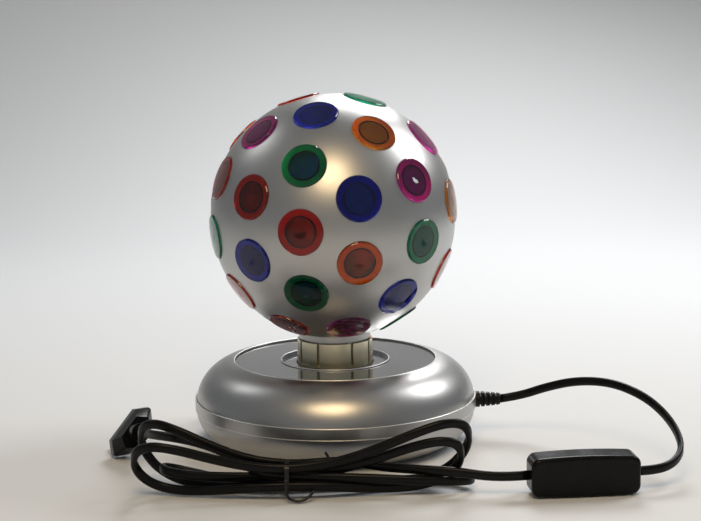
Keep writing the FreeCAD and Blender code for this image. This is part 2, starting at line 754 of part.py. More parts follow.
def gear_blank(teeth, height, low, first_angle, centre_x):
    """A spur gear's toothed disc."""
    module = float(size("gear_module"))
    pitch_radius = module * teeth / 2.0
    root_radius = pitch_radius - 1.25 * module
    levels = [root_radius, max(root_radius, pitch_radius - 0.7 * module), pitch_radius,
              pitch_radius + 0.55 * module, pitch_radius + 0.95 * module]
    halves = [tooth_half_angle(level, pitch_radius, teeth, float(size("backlash"))) for level in levels]
    points = []
    for tooth in range(teeth):
        middle = math.radians(first_angle) + 2 * math.pi * tooth / teeth
        flank = list(zip(levels, halves))
        sides = [(level, middle - half) for level, half in flank]
        sides += [(level, middle + half) for level, half in reversed(flank)]
        points += [Vector(level * math.cos(angle), level * math.sin(angle), 0) for level, angle in sides]
    face = Part.Face(Part.makePolygon(points + points[:1]))
    disc = face.extrude(Vector(0, 0, float(height)))
    disc.translate(Vector(float(centre_x), 0, float(low)))
    return disc


def make_drive_gear():
    """The gear under the collar, with its hub and three screw holes."""
    teeth = feature("drive_gear_teeth", gear_blank(GEAR_TEETH, size("gear_face"), gear_low, 0.0, 0.0))
    hub = cylinder("drive_gear_hub", size("hub_radius"), size("hub_height"), (0, 0, gear_low))
    bore = cylinder("drive_gear_bore", size("journal_radius") + running_gap,
                    size("hub_height") + 2, (0, 0, gear_low - 1))
    pocket = ring("drive_gear_pocket", size("hub_radius") + part_gap,
                  gear_pitch - size("gear_module") * 3.5, gear_low - 1,
                  size("gear_face") - size("web_wall") + 1)
    holes = []
    for x, y, _ in collar_screw_places():
        holes.append(cylinder("collar_screw_hole", small_hole, size("hub_height") + 2,
                              (x, y, gear_low - 1)))
    seats = []
    for x, y, _ in collar_screw_places():
        seats.append(cylinder("collar_screw_seat", size("small_head_radius") + part_gap,
                              size("small_head") + face_gap, (x, y, gear_low)))
    whole = fuse("drive_gear_whole", teeth, hub)
    return node("drive_gear", cut("drive_gear_cut", whole, bore, pocket,
                                  group("collar_screw_holes", holes), group("collar_screw_seats", seats)))


def collar_screw_places():
    return ring_places(3, size("collar_screw_circle"), 90.0)


def make_motor():
    """The gear motor under the carrier plate: case, mounting plate, shaft and pinion."""
    case_low = plate_low - size("motor_height")
    case = cylinder("motor_case_body", size("motor_radius"), size("motor_height"), (pinion_x, 0, case_low))
    well_depth = size("shaft_radius")
    well = cylinder("motor_case_bore", size("shaft_radius") + running_gap, well_depth,
                    (pinion_x, 0, plate_low - well_depth))
    node("motor_case", cut("motor_case_cut", case, well))
    plate = cylinder("motor_plate_disc", size("motor_radius") - plastic_wall, size("ear_thick"),
                     (pinion_x, 0, plate_low))
    bar = block("motor_plate_bar", size("ear_radius") * 2, size("ear_span"), size("ear_thick"),
                (pinion_x, 0, plate_low))
    ears = [cylinder("motor_ear", size("ear_radius"), size("ear_thick"), (x, y, plate_low))
            for x, y, _ in motor_ears()]
    neck = cylinder("motor_neck", size("motor_neck_radius"), size("motor_neck"), (pinion_x, 0, plate_top))
    holes = [cylinder("ear_hole", screw_hole, size("ear_thick") * 3, (x, y, plate_low - 1))
             for x, y, _ in motor_ears()]
    bore = cylinder("motor_plate_bore", size("shaft_radius") + running_gap,
                    size("motor_neck") + size("ear_thick") + 2, (pinion_x, 0, plate_low - 1))
    whole = fuse("motor_plate_whole", plate, bar, neck, *ears)
    node("motor_plate", cut("motor_plate_cut", whole, bore, group("ear_holes", holes)))
    shaft_low = plate_low - well_depth + face_gap
    pinion_low = gear_low - face_gap
    shaft_top = pinion_low + size("pinion_face")
    node("motor_shaft", cylinder("motor_shaft_body", size("shaft_radius"), shaft_top - shaft_low,
                                 (pinion_x, 0, shaft_low)))
    blank = feature("pinion_teeth", gear_blank(
        PINION_TEETH, size("pinion_face"), pinion_low, 180.0 / PINION_TEETH, pinion_x))
    hole = cylinder("pinion_bore", size("shaft_radius") + running_gap / 2, size("pinion_face") + 2,
                    (pinion_x, 0, pinion_low - 1))
    node("motor_pinion", cut("pinion_cut", blank, hole))


# Collar, ball and lenses
def spoke(name, inner, length, width, low, height, angle):
    """A box that points outwards from the Z axis at an angle."""
    cosine, sine = math.cos(math.radians(angle)), math.sin(math.radians(angle))
    obj = doc.addObject("Part::Box", name)
    bind(obj, "Length", length)
    bind(obj, "Width", width)
    bind(obj, "Height", height)
    half = width / 2
    at = (inner * cosine + half * sine, inner * sine - half * cosine, low)
    return place(obj, at, Rotation(Vector(0, 0, 1), angle))


def make_collar():
    """The rotating collar: a slit tube whose four tabs hold the ball's neck."""
    tube = turned("collar_tube", [
        (size("collar_bore"), gear_top),
        (size("collar_radius"), gear_top),
        (size("collar_radius"), size("collar_top")),
        (collar_inner, size("collar_top")),
        (collar_inner, collar_seat),
        (size("neck_bore"), collar_seat),
        (size("neck_bore"), gear_top + size("collar_floor")),
        (size("collar_bore"), gear_top + size("collar_floor")),
    ])
    slit_low = well_floor + size("slit_rise")
    slits = []
    for tab in range(4):
        for side in (-1, 1):
            angle = -90.0 + 90.0 * tab + side * float(size("tab_half_angle"))
            slits.append(spoke("collar_slit", collar_inner - part_gap, size("collar_wall") * 2,
                               size("slit_width"), slit_low, size("collar_top"), angle))
    pilots = [cylinder("collar_pilot", small_hole, size("collar_screw_grip") + part_gap, (x, y, gear_top))
              for x, y, _ in collar_screw_places()]
    return node("rotating_collar", cut("collar", tube, group("collar_slits", slits),
                                       group("collar_pilots", pilots)))


def lens_axis():
    """Direction of the middle lens, about which the rings of lenses are laid out."""
    turn = math.radians(LENS_TURN)
    return Vector(math.sin(turn), -math.cos(turn), 0)


def lens_direction(ring_number, bearing):
    """Direction of a lens from the ball's centre; bearing 0 is up, positive to the right."""
    axis = lens_axis()
    up = Vector(0, 0, 1)
    right = up.cross(axis)
    polar = math.radians(RING_STEP * ring_number)
    turn = math.radians(bearing)
    side = up * math.cos(turn) + right * math.sin(turn)
    return axis * math.cos(polar) + side * math.sin(polar)


def lens_places():
    """Every lens as (colour, direction). The place that the neck takes is left out."""
    places = []
    for ring_number, colours in LENS_COLOURS.items():
        count = len(colours)
        first = 180.0 / count if ring_number == 3 else 0.0
        for index, colour in enumerate(colours):
            if colour:
                places.append((colour, lens_direction(ring_number, first + 360.0 * index / count)))
    return places


def towards(direction):
    """Rotation that turns +Z to a direction."""
    return Rotation(Vector(0, 0, 1), direction)


def ball_point(direction, distance):
    """A place at a distance from the ball's centre."""
    return (distance * direction.x, distance * direction.y, ball_height + distance * direction.z)


def make_ball():
    """Both shells of the ball, the hoop inside their joint, and the lenses by colour."""
    centre = (0, 0, ball_height)
    directions = [direction for _, direction in lens_places()]
    inner = size("ball_radius") - size("ball_wall")
    hollow = cut("ball_hollow", ball("ball_outside", size("ball_radius"), centre),
                 ball("ball_inside", inner, centre))
    seats = [cylinder("lens_seat", size("lens_radius") + size("lens_seat_gap"), size("ball_wall") * 2,
                      ball_point(direction, size("lens_seat")), towards(direction))
             for direction in directions]
    holes = [cylinder("lens_hole", size("lens_cup_radius") + size("lens_seat_gap"), size("ball_wall") * 4,
                      ball_point(direction, inner - size("ball_wall")), towards(direction))
             for direction in directions]
    seated = cut("ball_seated", hollow, group("lens_seats", seats), group("lens_holes", holes))
    neck = cylinder("neck_ring", size("neck_ring_radius"),
                    size("neck_ring_height") + size("neck_inside"), (0, 0, ring_low))
    spigot = cylinder("neck_spigot", spigot_radius, ring_low - spigot_low + part_gap, (0, 0, spigot_low))
    bore = cylinder("neck_bore_tool", size("neck_bore"), size("ball_radius"), (0, 0, spigot_low - 1))
    whole = cut("ball_whole", fuse("ball_necked", seated, neck, spigot), bore)
    axis = lens_axis()
    reach = size("ball_radius") * 2
    front = cylinder("front_room", reach, reach, ball_point(axis, -size("split_offset")), towards(axis))
    back = cylinder("back_room", reach, reach, ball_point(axis, -size("split_offset")), towards(-axis))
    node("ball_front_shell", common("ball_front", whole, front))
    node("ball_back_shell", common("ball_back", whole, back))
    hoop_outer = inner - part_gap
    hoop_shell = cut("hoop_shell", ball("hoop_outside", hoop_outer, centre),
                     ball("hoop_inside", hoop_outer - size("hoop_wall"), centre))
    slab = cylinder("hoop_slab", reach, size("hoop_width"),
                    ball_point(axis, -size("split_offset") - size("hoop_width") / 2), towards(axis))
    notch = cylinder("hoop_notch", size("neck_ring_radius") + face_gap, size("ball_radius"),
                     (0, 0, spigot_low))
    node("ball_joint_hoop", cut("hoop", common("hoop_band", hoop_shell, slab), notch))
    make_lenses()


def make_lenses():
    """A lens is a crowned disc on its seat with a skirt that reaches through the shell."""
    seat = size("lens_seat") + running_gap
    face = seat + size("lens_flange")
    skirt_low = seat - size("lens_cup_depth")
    bevel = size("lens_bevel")
    skirt_inner = size("lens_cup_radius") - size("lens_cup_wall")
    rim = size("lens_radius") - bevel
    crown = size("lens_crown")
    pattern = turned("lens_pattern", [
        (0, seat),
        (skirt_inner, seat),
        (skirt_inner, skirt_low),
        (size("lens_cup_radius"), skirt_low),
        (size("lens_cup_radius"), seat),
        (size("lens_radius"), seat),
        (size("lens_radius"), face - bevel),
        (rim, face),
        (0, face + crown, (rim * rim + crown * crown) / (crown * 2), 1),
    ])
    doc.recompute()
    centre = Vector(0, 0, float(ball_height))
    for colour in LENS_NAMES:
        copies = []
        for own_colour, direction in lens_places():
            if own_colour == colour:
                copy = pattern.Shape.copy()
                copy.Placement = Placement(centre, towards(direction))
                copies.append(copy)
        node("lenses_" + colour, feature("lenses_" + colour + "_group", Part.Compound(copies)))


# Lamp in the middle
def make_lamp():
    """The hollow tube through the collar, the lampholder on it and the bulb."""
    tube_inner = size("lamp_tube_radius") - size("lamp_tube_wall")
    node("lamp_tube", ring("lamp_tube_body", tube_inner, size("lamp_tube_radius"),
                           size("lamp_tube_low"), size("lamp_tube_top") - size("lamp_tube_low")))
    nuts = []
    for low in (carrier_low - size("nut_height"), carrier_top):
        nut = hexagon("tube_nut", size("nut_corner"), size("nut_height"), (0, 0, low))
        bore = cylinder("tube_nut_bore", tube_hole, size("nut_height") + 2, (0, 0, low - 1))
        nuts.append(cut("tube_nut_cut", nut, bore))
    node("lamp_tube_nuts", group("lamp_tube_nut_group", nuts))
    node("lampholder_body", turned("lampholder", [
        (tube_hole, size("holder_low")),
        (size("holder_neck"), size("holder_low")),
        (size("holder_radius"), size("holder_low") + size("holder_cone")),
        (size("holder_radius"), size("holder_top")),
        (holder_inner, size("holder_top")),
        (holder_inner, holder_floor),
        (tube_hole, holder_floor),
    ]))
    node("lampholder_liner", ring("lampholder_liner_body", liner_outer - size("liner_wall"),
                                  liner_outer, size("liner_low"), size("liner_height")))
    strip = block("contact_strip", (holder_inner - part_gap) * 1.8, size("tongue_width"),
                  size("tongue_thick"), (0, 0, holder_floor))
    pin = cylinder("contact_pin", size("tongue_tip"), size("bulb_tip") - face_gap - holder_floor,
                   (0, 0, holder_floor))
    node("lampholder_contact", fuse("lampholder_contact_body", strip, pin))
    make_bulb()


def make_bulb():
    tip = size("bulb_tip")
    cap = size("bulb_cap_radius")
    cap_wall = size("bulb_cap_wall")
    shoulder = tip + size("bulb_tip_radius") / 2
    cap_top = tip + size("bulb_cap_height")
    node("bulb_cap", turned("bulb_cap_body", [
        (0, tip),
        (size("bulb_tip_radius"), tip),
        (size("bulb_tip_radius"), shoulder),
        (cap, shoulder + size("bulb_tip_radius") / 2),
        (cap, cap_top),
        (cap - cap_wall, cap_top),
        (cap - cap_wall, shoulder + size("bulb_tip_radius") / 2 + cap_wall),
        (0, shoulder + size("bulb_tip_radius") / 2 + cap_wall),
    ]))
    neck = size("bulb_neck_radius")
    wall = size("bulb_wall")
    glass_low = cap_top - size("bulb_cap_height") / 4
    widen_low = cap_top + wall
    widen_top = widen_low + size("bulb_radius") - neck
    dome_low = tip + size("bulb_length") - size("bulb_radius")
    node("bulb_glass", turned("bulb_glass_body", [
        (neck - wall, glass_low),
        (neck, glass_low),
        (neck, widen_low),
        (size("bulb_radius"), widen_top),
        (size("bulb_radius"), dome_low),
        (0, tip + size("bulb_length"), size("bulb_radius"), 1),
        (0, tip + size("bulb_length") - wall),
        (size("bulb_radius") - wall, dome_low, size("bulb_radius") - wall, -1),
        (size("bulb_radius") - wall, widen_top),
        (neck - wall, widen_low),
    ]))
    floor = shoulder + size("bulb_tip_radius") / 2 + cap_wall
    light = tip + size("bulb_light_height")
    stem = cylinder("bulb_stem", size("bulb_stem_radius"),
                    light - size("bulb_radius") - floor, (0, 0, floor))
    wires = []
    for side in (-1, 1):
        x = size("bulb_stem_radius") * 0.5 * side
        wires.append(cylinder("bulb_wire", size("bulb_wire_radius"), light - floor, (x, 0, floor)))
    span = size("filament_half") * 2
    filament = cylinder("filament", size("bulb_wire_radius"), span,
                        (-size("filament_half"), 0, light), ALONG_X)
    node("bulb_filament", fuse("bulb_filament_body", stem, filament, *wires))


# What holds the cord in the base
def make_boot():
    """The ribbed boot in the lower shell's wall, turned to point outwards along X."""
    tip = size("shell_radius") + size("boot_reach")
    inside = boot_seat
    collar = size("shell_radius") + part_gap
    core = turned("boot_core_body", [
        (0, inside - size("boot_inside")),
        (size("boot_radius"), inside - size("boot_inside")),
        (size("boot_radius"), inside),
        (size("boot_neck_radius"), inside),
        (size("boot_neck_radius"), collar),
        (size("boot_radius"), collar),
        (size("boot_radius"), collar + size("boot_collar")),
        (size("boot_tip_radius") + part_gap, tip - 1),
        (size("boot_tip_radius") - part_gap * 4, tip),
        (0, tip),
    ])
    place(core, (0, 0, cord_height), ALONG_X)
    slots = []
    reach = size("boot_radius") * 2
    for index in range(4):
        x = collar + size("boot_collar") + size("boot_slot") + size("boot_pitch") * index
        for side in (-1, 1):
            top = cord_height + size("boot_core") * side
            low = top if side > 0 else top - reach
            slots.append(block("boot_slot_tool", size("boot_slot"), reach * 2, reach, (x, 0, low)))
    for index in range(3):
        x = collar + size("boot_collar") + size("boot_slot") + size("boot_pitch") * (index + 0.5)
        for side in (-1, 1):
            y = (size("boot_core") + reach / 2) * side
            slots.append(block("boot_slot_tool", size("boot_slot"), reach, reach * 2,
                               (x, y, cord_height - reach)))
    slots.append(block("boot_flat_tool", size("boot_inside") * 2, reach * 2, reach,
                       (inside - size("boot_inside"), 0, seam_low - plastic_wall - part_gap)))
    node("cord_boot", cut("boot", core, group("boot_slots", slots)))


def make_cord_fittings():
    """The clamp, the terminal block and the leads inside the base."""
    clamp_x = size("clamp_place")
    width = (size("clamp_half_span") + size("screw_head_radius")) * 2
    saddle = block("clamp_saddle", size("clamp_length"), width, size("clamp_height"),
                   (clamp_x, 0, pedestal_top + part_gap))
    tunnel = cylinder("clamp_tunnel", cord_radius + running_gap, size("clamp_length") * 2,
                      (clamp_x - size("clamp_length"), 0, cord_height), ALONG_X)
    mouth = block("clamp_mouth", size("clamp_length") * 2, (cord_radius + running_gap) * 2, cord_radius,
                  (clamp_x, 0, pedestal_top))
    holes = [cylinder("clamp_hole", small_hole, size("clamp_height") * 2,
                      (clamp_x, size("clamp_half_span") * side, pedestal_top)) for side in (-1, 1)]
    node("cord_clamp", cut("clamp", saddle, tunnel, mouth, group("clamp_holes", holes)))
    places = [(clamp_x, size("clamp_half_span") * side, 0.0) for side in (-1, 1)]
    small_screws("clamp_screws", places, pedestal_top + part_gap + size("clamp_height"),
                 size("clamp_height") * 2 - face_gap, upwards=False)
    body = block("terminal_body", size("block_length"), size("block_width"), size("block_height"),
                 (size("block_place"), 0, block_low))
    heads = []
    for step in (-1, 1):
        for side in (-1, 1):
            x = size("block_place") + size("block_length") / 4 * step
            y = size("block_width") / 4 * side
            heads.append(cylinder("terminal_well", size("small_head_radius"), size("block_height") / 3,
                                  (x, y, block_low + size("block_height") * (2.0 / 3))))
    node("terminal_block", cut("terminal", body, group("terminal_wells", heads)))
    node("terminal_screws", group("terminal_screw_group", [
        cylinder("terminal_screw", size("small_head_radius") - part_gap, size("small_head"),
                 (size("block_place") + size("block_length") / 4 * step,
                  size("block_width") / 4 * side, block_low + size("block_height") * (2.0 / 3)))
        for step in (-1, 1) for side in (-1, 1)]))
    block_out = size("block_place") + size("block_length") / 2
    boot_in = boot_seat - size("boot_inside")
    node("inner_cord", cylinder("inner_cord_body", cord_radius, boot_in - block_out,
                                (block_out, 0, cord_height), ALONG_X))


def make_inner_leads():
    """The lamp's lead, up through the tube, and the motor's lead."""
    start_x = float(size("block_place") - size("block_length") / 2)
    level = float(cord_height)
    side = float(size("block_width")) / 4
    tube_low = float(size("lamp_tube_low"))
    lamp_route = [
        Vector(start_x, side, level),
        Vector(start_x - 5, side, level - 0.3),
        Vector(start_x * 0.56, side * 0.8, level - 5.5),
        Vector(start_x * 0.14, 0.6, level - 11),
        Vector(0, 0, tube_low - 3),
        Vector(0, 0, float(size("lamp_tube_top")) + 0.7),
    ]
    tube("lamp_lead", lamp_route, float(size("lead_thick")))
    motor_level = float(plate_low - size("motor_height") / 2)
    turn = math.radians(-28.0)
    reach = float(size("motor_radius"))
    out = Vector(math.cos(turn), math.sin(turn), 0)
    centre = Vector(float(pinion_x), 0, motor_level)
    motor_route = [
        Vector(start_x, -side, level),
        Vector(start_x - 5, -side - 0.4, level),
        Vector(start_x * 0.5, -side * 2.4, level),
        Vector(start_x * 0.15, -side * 4.0, (level + motor_level) / 2),
        centre + out * (reach + 9),
        centre + out * (reach + 0.02),
    ]
    tube("motor_lead", motor_route, float(size("lead_thick")))


# Cords
def tube_edges(points):
    """Straight runs joined by tangent arcs, with the arcs' radii."""
    edges = []
    radii = []
    here = points[0]
    for index in range(1, len(points) - 1):
        before, corner, after = points[index - 1], points[index], points[index + 1]
        back = (before - corner).normalize()
        ahead = (after - corner).normalize()
        turn = math.pi - math.acos(max(-1.0, min(1.0, back.dot(ahead))))
        shorter = min((before - corner).Length, (after - corner).Length)
        trim = 0.45 * shorter
        radius = trim / math.tan(turn / 2)
        first = corner + back * trim
        last = corner + ahead * trim
        inward = (back + ahead).normalize()
        centre = corner + inward * (radius / math.cos(turn / 2))
        middle = centre - inward * radius
        edges.append(Part.LineSegment(here, first).toShape())
        edges.append(Part.Arc(first, middle, last).toShape())
        radii.append(radius)
        here = last
    edges.append(Part.LineSegment(here, points[-1]).toShape())
    return edges, radii


def tube(name, points, thick):
    """A round tube along a route, checked by its volume."""
    edges, radii = tube_edges(points)
    path = Part.Wire(edges)
    start = (points[1] - points[0]).normalize()
    profile = Part.Wire([Part.Circle(points[0], start, thick / 2).toShape()])
    solid = path.makePipeShell([profile], True, False)
    expected = math.pi * thick * thick / 4 * path.Length
    print("%s: length %.1f, radii %s, volume ratio %.4f" % (
        name, path.Length, [round(radius) for radius in radii], solid.Volume / expected))
    return node(name, feature(name + "_tube", solid))


def arc_pair(start, start_way, end, end_way):
    """Two arcs that join two points with given directions."""
    chord = end - start
    together = start_way + end_way
    dot = start_way.dot(end_way)
    lead = chord.dot(together)
    if abs(1 - dot) < 1e-9:
        reach = chord.dot(chord) / (4 * chord.dot(end_way))
    else:
        root_part = math.sqrt(lead * lead + 2 * (1 - dot) * chord.dot(chord))
        reach = (root_part - lead) / (2 * (1 - dot))
    first = start + start_way * reach
    last = end - end_way * reach
    middle = (first + last) * 0.5
    return [arc_from(start, start_way, middle), arc_from(end, -end_way, middle)]


def arc_from(start, way, end):
    """The arc that leaves a point in a direction and ends at another point."""
    chord = end - start
    side = chord - way * chord.dot(way)
    if side.Length < 1e-7:
        return Part.LineSegment(start, end).toShape(), 1e9, [start, (start + end) * 0.5, end]
    side.normalize()
    radius = chord.dot(chord) / (2 * chord.dot(side))
    centre = start + side * radius
    half = (start - centre) + (end - centre)
    if half.Length < 1e-7:
        half = way * 1.0
    half.normalize()
    if half.dot(way) < 0 and chord.dot(way) < 0:
        half = half * -1
    middle = centre + half * radius
    return Part.Arc(start, middle, end).toShape(), radius, [start, middle, end]


# Switch on the cord
SWITCH_PLACE = (136.0, -130.5)
SWITCH_TURN = 4.5


def switch_frame():
    """Placement of the switch: it lies on a long edge, with its rocker at the back."""
    turn = Rotation(Vector(0, 0, 1), SWITCH_TURN).multiply(ALONG_Y)
    return (SWITCH_PLACE[0], SWITCH_PLACE[1], size("switch_width") / 2), turn


def switch_point(along, out):
    """A point of the switch's middle line: along its length and out from its flat face."""
    at, turn = switch_frame()
    return Vector(*[float(value) for value in at]) + turn.multVec(Vector(along, 0, out))


def rounded_prism(name, length, width, low, height, corner):
    """A block with rounded upright edges, its middle on the Z axis."""
    half_length, half_width = length / 2, width / 2
    bars = [
        block(name + "_bar", length, width - corner * 2, height, (0, 0, low)),
        block(name + "_bar", length - corner * 2, width, height, (0, 0, low)),
    ]
    for along in (-1, 1):
        for across in (-1, 1):
            at = ((half_length - corner) * along, (half_width - corner) * across, low)
            bars.append(cylinder(name + "_corner", corner, height, at))
    return fuse(name, *bars)


def rounded_shell(name, low, high, face):
    """A piece of the switch's outer form between two levels, with its rim rounded at one of them."""
    half_length, half_width = float(size("switch_length")) / 2, float(size("switch_width")) / 2
    crown = float(size("switch_crown"))
    low, high, face = float(low), float(high), float(face)
    side = half_width - crown
    left, right = -half_length, half_length
    edges = [
        Part.Arc(Vector(left, -side, low), Vector(0, -half_width, low), Vector(right, -side, low)).toShape(),
        Part.makeLine(Vector(right, -side, low), Vector(right, side, low)),
        Part.Arc(Vector(right, side, low), Vector(0, half_width, low), Vector(left, side, low)).toShape(),
        Part.makeLine(Vector(left, side, low), Vector(left, -side, low)),
    ]
    body = Part.Face(Part.Wire(edges)).extrude(Vector(0, 0, high - low))
    uprights = [edge for edge in body.Edges
                if abs(edge.Vertexes[0].Point.z - edge.Vertexes[-1].Point.z) > 0.1]
    body = body.makeFillet(float(size("switch_round")), uprights)
    rim = [edge for edge in body.Edges
           if all(abs(corner.Point.z - face) < 0.001 for corner in edge.Vertexes)]
    return feature(name, body.makeFillet(float(size("switch_edge")), rim))


def make_switch():
    """Both halves of the switch, its rocker and pin, contacts and screws."""
    at, turn = switch_frame()
    length, width = size("switch_length"), size("switch_width")
    wall, split, depth = size("switch_wall"), size("switch_split"), size("switch_depth")
    corner = size("switch_round")
    gap = size("rocker_gap")
    screw_x = length / 2 - wall * 3.2
    crown = size("switch_crown")
    lower = rounded_shell("switch_lower", 0, split - running_gap, 0)
    room_width = width - (crown + wall) * 2
    lower_room = rounded_prism("switch_lower_room", length - wall * 8, room_width, wall,
                               split, corner - wall)
    lower_pilots = [cylinder("switch_pilot", small_hole, split, (screw_x * side, 0, wall))
                    for side in (-1, 1)]
    place(node("switch_lower_half", cut("switch_lower_cut", lower, lower_room,
                                        group("switch_pilots", lower_pilots))), at, turn)
    upper = rounded_shell("switch_upper", split, depth, depth)
    upper_room = rounded_prism("switch_upper_room", length - wall * 8, room_width, split - 1,
                               depth - split - wall + 1, corner - wall)
    window = block("rocker_window", size("rocker_length") + gap * 2, size("rocker_width") + gap * 2,
                   wall * 4, (0, 0, depth - wall * 2))
    pin_level = depth - wall * 2
    ear_low = pin_level - size("rocker_pin_radius") * 1.8
    ears = [block("rocker_ear", size("rocker_pin_radius") * 4, wall, depth - wall / 2 - ear_low,
                  (0, (size("rocker_width") / 2 + gap + wall / 2) * side, ear_low))
            for side in (-1, 1)]
    pin_half = size("rocker_width") / 2 + gap + wall
    pin_hole = cylinder("rocker_pin_hole", size("rocker_pin_radius") + running_gap, pin_half * 2 + 1,
                        (0, -pin_half - 0.5, pin_level), ALONG_Y)
    upper_holes = [cylinder("switch_hole", small_hole, depth, (screw_x * side, 0, split - 1))
                   for side in (-1, 1)]
    head_seats = [cylinder("switch_head_seat", size("small_head_radius") + part_gap, depth,
                           (screw_x * side, 0, depth - size("small_head") - face_gap))
                  for side in (-1, 1)]
    upper_whole = fuse("switch_upper_whole", cut("switch_upper_cut", upper, upper_room, window), *ears)
    place(node("switch_upper_half", cut("switch_upper_drilled", upper_whole, pin_hole,
                                        group("switch_holes", upper_holes),
                                        group("switch_head_seats", head_seats))), at, turn)
    make_rocker(pin_level, pin_half)
    seat = depth - size("small_head") - face_gap
    places = [(screw_x * side, 0, 0.0) for side in (-1, 1)]
    screws = small_screws("switch_screws", places, seat, seat - wall - face_gap, upwards=False)
    place(screws, at, turn)
    strips = [block("switch_contact", size("rocker_length") * 0.4, size("rocker_width") * 0.5,
                    size("tongue_thick"), (size("rocker_length") * 0.5 * side, 0, wall))
              for side in (-1, 1)]
    place(node("switch_contacts", group("switch_contact_group", strips)), at, turn)


def make_rocker(pin_level, pin_half):
    """The rocker, tipped to one end at rest, with the pin that it turns on."""
    at, turn = switch_frame()
    tip = Rotation(Vector(0, 1, 0), float(size("rocker_throw")) / 2)
    depth = size("switch_depth")
    top = depth - pin_level + size("rocker_rise") / 2
    low = -size("rocker_pin_radius") * 2
    cap = block("rocker_cap", size("rocker_length"), size("rocker_width"), top - low, (0, 0, low))
    pin = cylinder("rocker_pin", size("rocker_pin_radius"), (pin_half - part_gap) * 2,
                   (0, -(pin_half - part_gap), 0), ALONG_Y)
    rocker = node("switch_rocker", fuse("rocker", cap, pin))
    pivot = Vector(*[float(value) for value in at]) + turn.multVec(Vector(0, 0, float(pin_level)))
    place(rocker, tuple(pivot), turn.multiply(tip))


# Plug at the far end
PLUG_PLACE = Vector(-125.5, -30.3, 14.1)
PLUG_PINS_WAY = Vector(-0.382, 0.9, -0.208)
PLUG_TILT = 47.0
PLUG_BLUNT = 0.12


def plug_frame():
    """Placement of the plug: +Z along its pins, +X along its long side."""
    way = Vector(PLUG_PINS_WAY).normalize()
    level = Vector(0, 0, 1).cross(way).normalize() * -1
    raised = way.cross(level)
    tilt = math.radians(PLUG_TILT)
    long_side = level * math.cos(tilt) - raised * math.sin(tilt)
    if long_side.z < 0:
        long_side = level * math.cos(tilt) + raised * math.sin(tilt)
    return Rotation(long_side, way.cross(long_side), way, "ZXY")


def plug_outline(width, thick, corner, level):
    """An eight-cornered outline at a height."""
    half_width, half_thick = width / 2, thick / 2
    points = [
        (-half_width + corner, -half_thick), (half_width - corner, -half_thick),
        (half_width, -half_thick * PLUG_BLUNT), (half_width, half_thick * PLUG_BLUNT),
        (half_width - corner, half_thick), (-half_width + corner, half_thick),
        (-half_width, half_thick * PLUG_BLUNT), (-half_width, -half_thick * PLUG_BLUNT),
    ]
    corners = [Vector(x, y, level) for x, y in points]
    return Part.makePolygon(corners + corners[:1])


def make_plug():
    turn = plug_frame()
    width, thick = float(size("plug_width")), float(size("plug_thick"))
    depth, corner = float(size("plug_depth")), float(size("plug_corner"))
    slab = Part.Face(plug_outline(width, thick, corner, 0)).extrude(Vector(0, 0, -depth * 0.4))
    back = Part.makeLoft([plug_outline(width, thick, corner, -depth * 0.4),
                          plug_outline(width * 0.62, thick * 0.86, corner * 0.6, -depth)], True, True)
    boss = Part.makeCylinder(float(size("plug_boss_radius")), float(size("plug_boss")) + 1,
                             Vector(0, 0, -depth + 1), Vector(0, 0, -1))
    body = feature("plug", slab.fuse([back, boss]).removeSplitter())
    place(node("plug_body", body), tuple(PLUG_PLACE), turn)
    pins = []
    sleeves = []
    for side in (-1, 1):
        x = size("pin_spacing") / 2 * side
        shank = cylinder("pin_shank", size("pin_radius") - size("sleeve_wall") - running_gap,
                         size("sleeve_length"), (x, 0, 0))
        tip = cylinder("pin_tip", size("pin_radius"),
                       size("pin_length") - size("sleeve_length"), (x, 0, size("sleeve_length")))
        pins.append(fuse("plug_pin", shank, tip))
        sleeves.append(ring("pin_sleeve", size("pin_radius") - size("sleeve_wall"),
                            size("pin_radius"), 0, size("sleeve_length"), (x, 0)))
    place(node("plug_pins", group("plug_pin_group", pins)), tuple(PLUG_PLACE), turn)
    place(node("pin_sleeves", group("pin_sleeve_group", sleeves)), tuple(PLUG_PLACE), turn)


# Hank: six loops, three to each side of the tied waist, wound as one unbroken cord
WAIST_X = -27.3
# The cord's places in the waist, in the order in which it passes: (y, z)
WAIST_SLOTS = [(-117.4, 17.7), (-119.0, 5.8), (-123.4, 16.6), (-126.5, 8.1),
               (-113.4, 9.8), (-111.2, 3.5), (-120.3, 11.4)]
# Each loop: side, reach, drift back, drift up, half width, tilt in degrees, strand it starts on
HANK_LOOPS = [
    (-1, 82.8, 19.9, 17.2, 14.9, 60.5, 1),
    (1, 101.3, 7.7, 19.6, 16.2, 59.4, -1),
    (-1, 84.2, 4.0, 9.4, 14.5, 53.1, 1),
    (1, 96.3, -1.4, 14.3, 16.7, 52.3, -1),
    (-1, 70.2, 5.5, 7.1, 6.2, -8.0, 1),
    (1, 103.3, 5.7, -1.8, 7.8, -1.1, -1),
]
LOOP_STEPS = 4
HANK_START = [(66, -123.5, 13.9), (46, -118.8, 14.1), (26, -114.2, 14.4), (6, -112.0, 18.0),
              (-11, -113.2, 17.2)]
HANK_END = [(-42, -119.3, 13.5), (-54, -110.4, 18.1), (-66, -102.0, 22.5)]


def loop_point(loop, start, end, angle):
    """A point of a loop; the angle goes from 0 at the waist to half a turn back at it."""
    side, reach, back, up, half_width, tilt, strand = loop
    sine = math.sin(angle)
    done = (1 - math.cos(angle)) / 2
    lean = math.radians(tilt)
    across = half_width * 1.3 * math.sin(2 * angle) * sine * strand
    y = start[0] * (1 - done) + end[0] * done + back * sine * sine - across * math.cos(lean)
    z = start[1] * (1 - done) + end[1] * done + up * sine * sine + across * math.sin(lean)
    return Vector(WAIST_X + side * reach * sine, y, z)


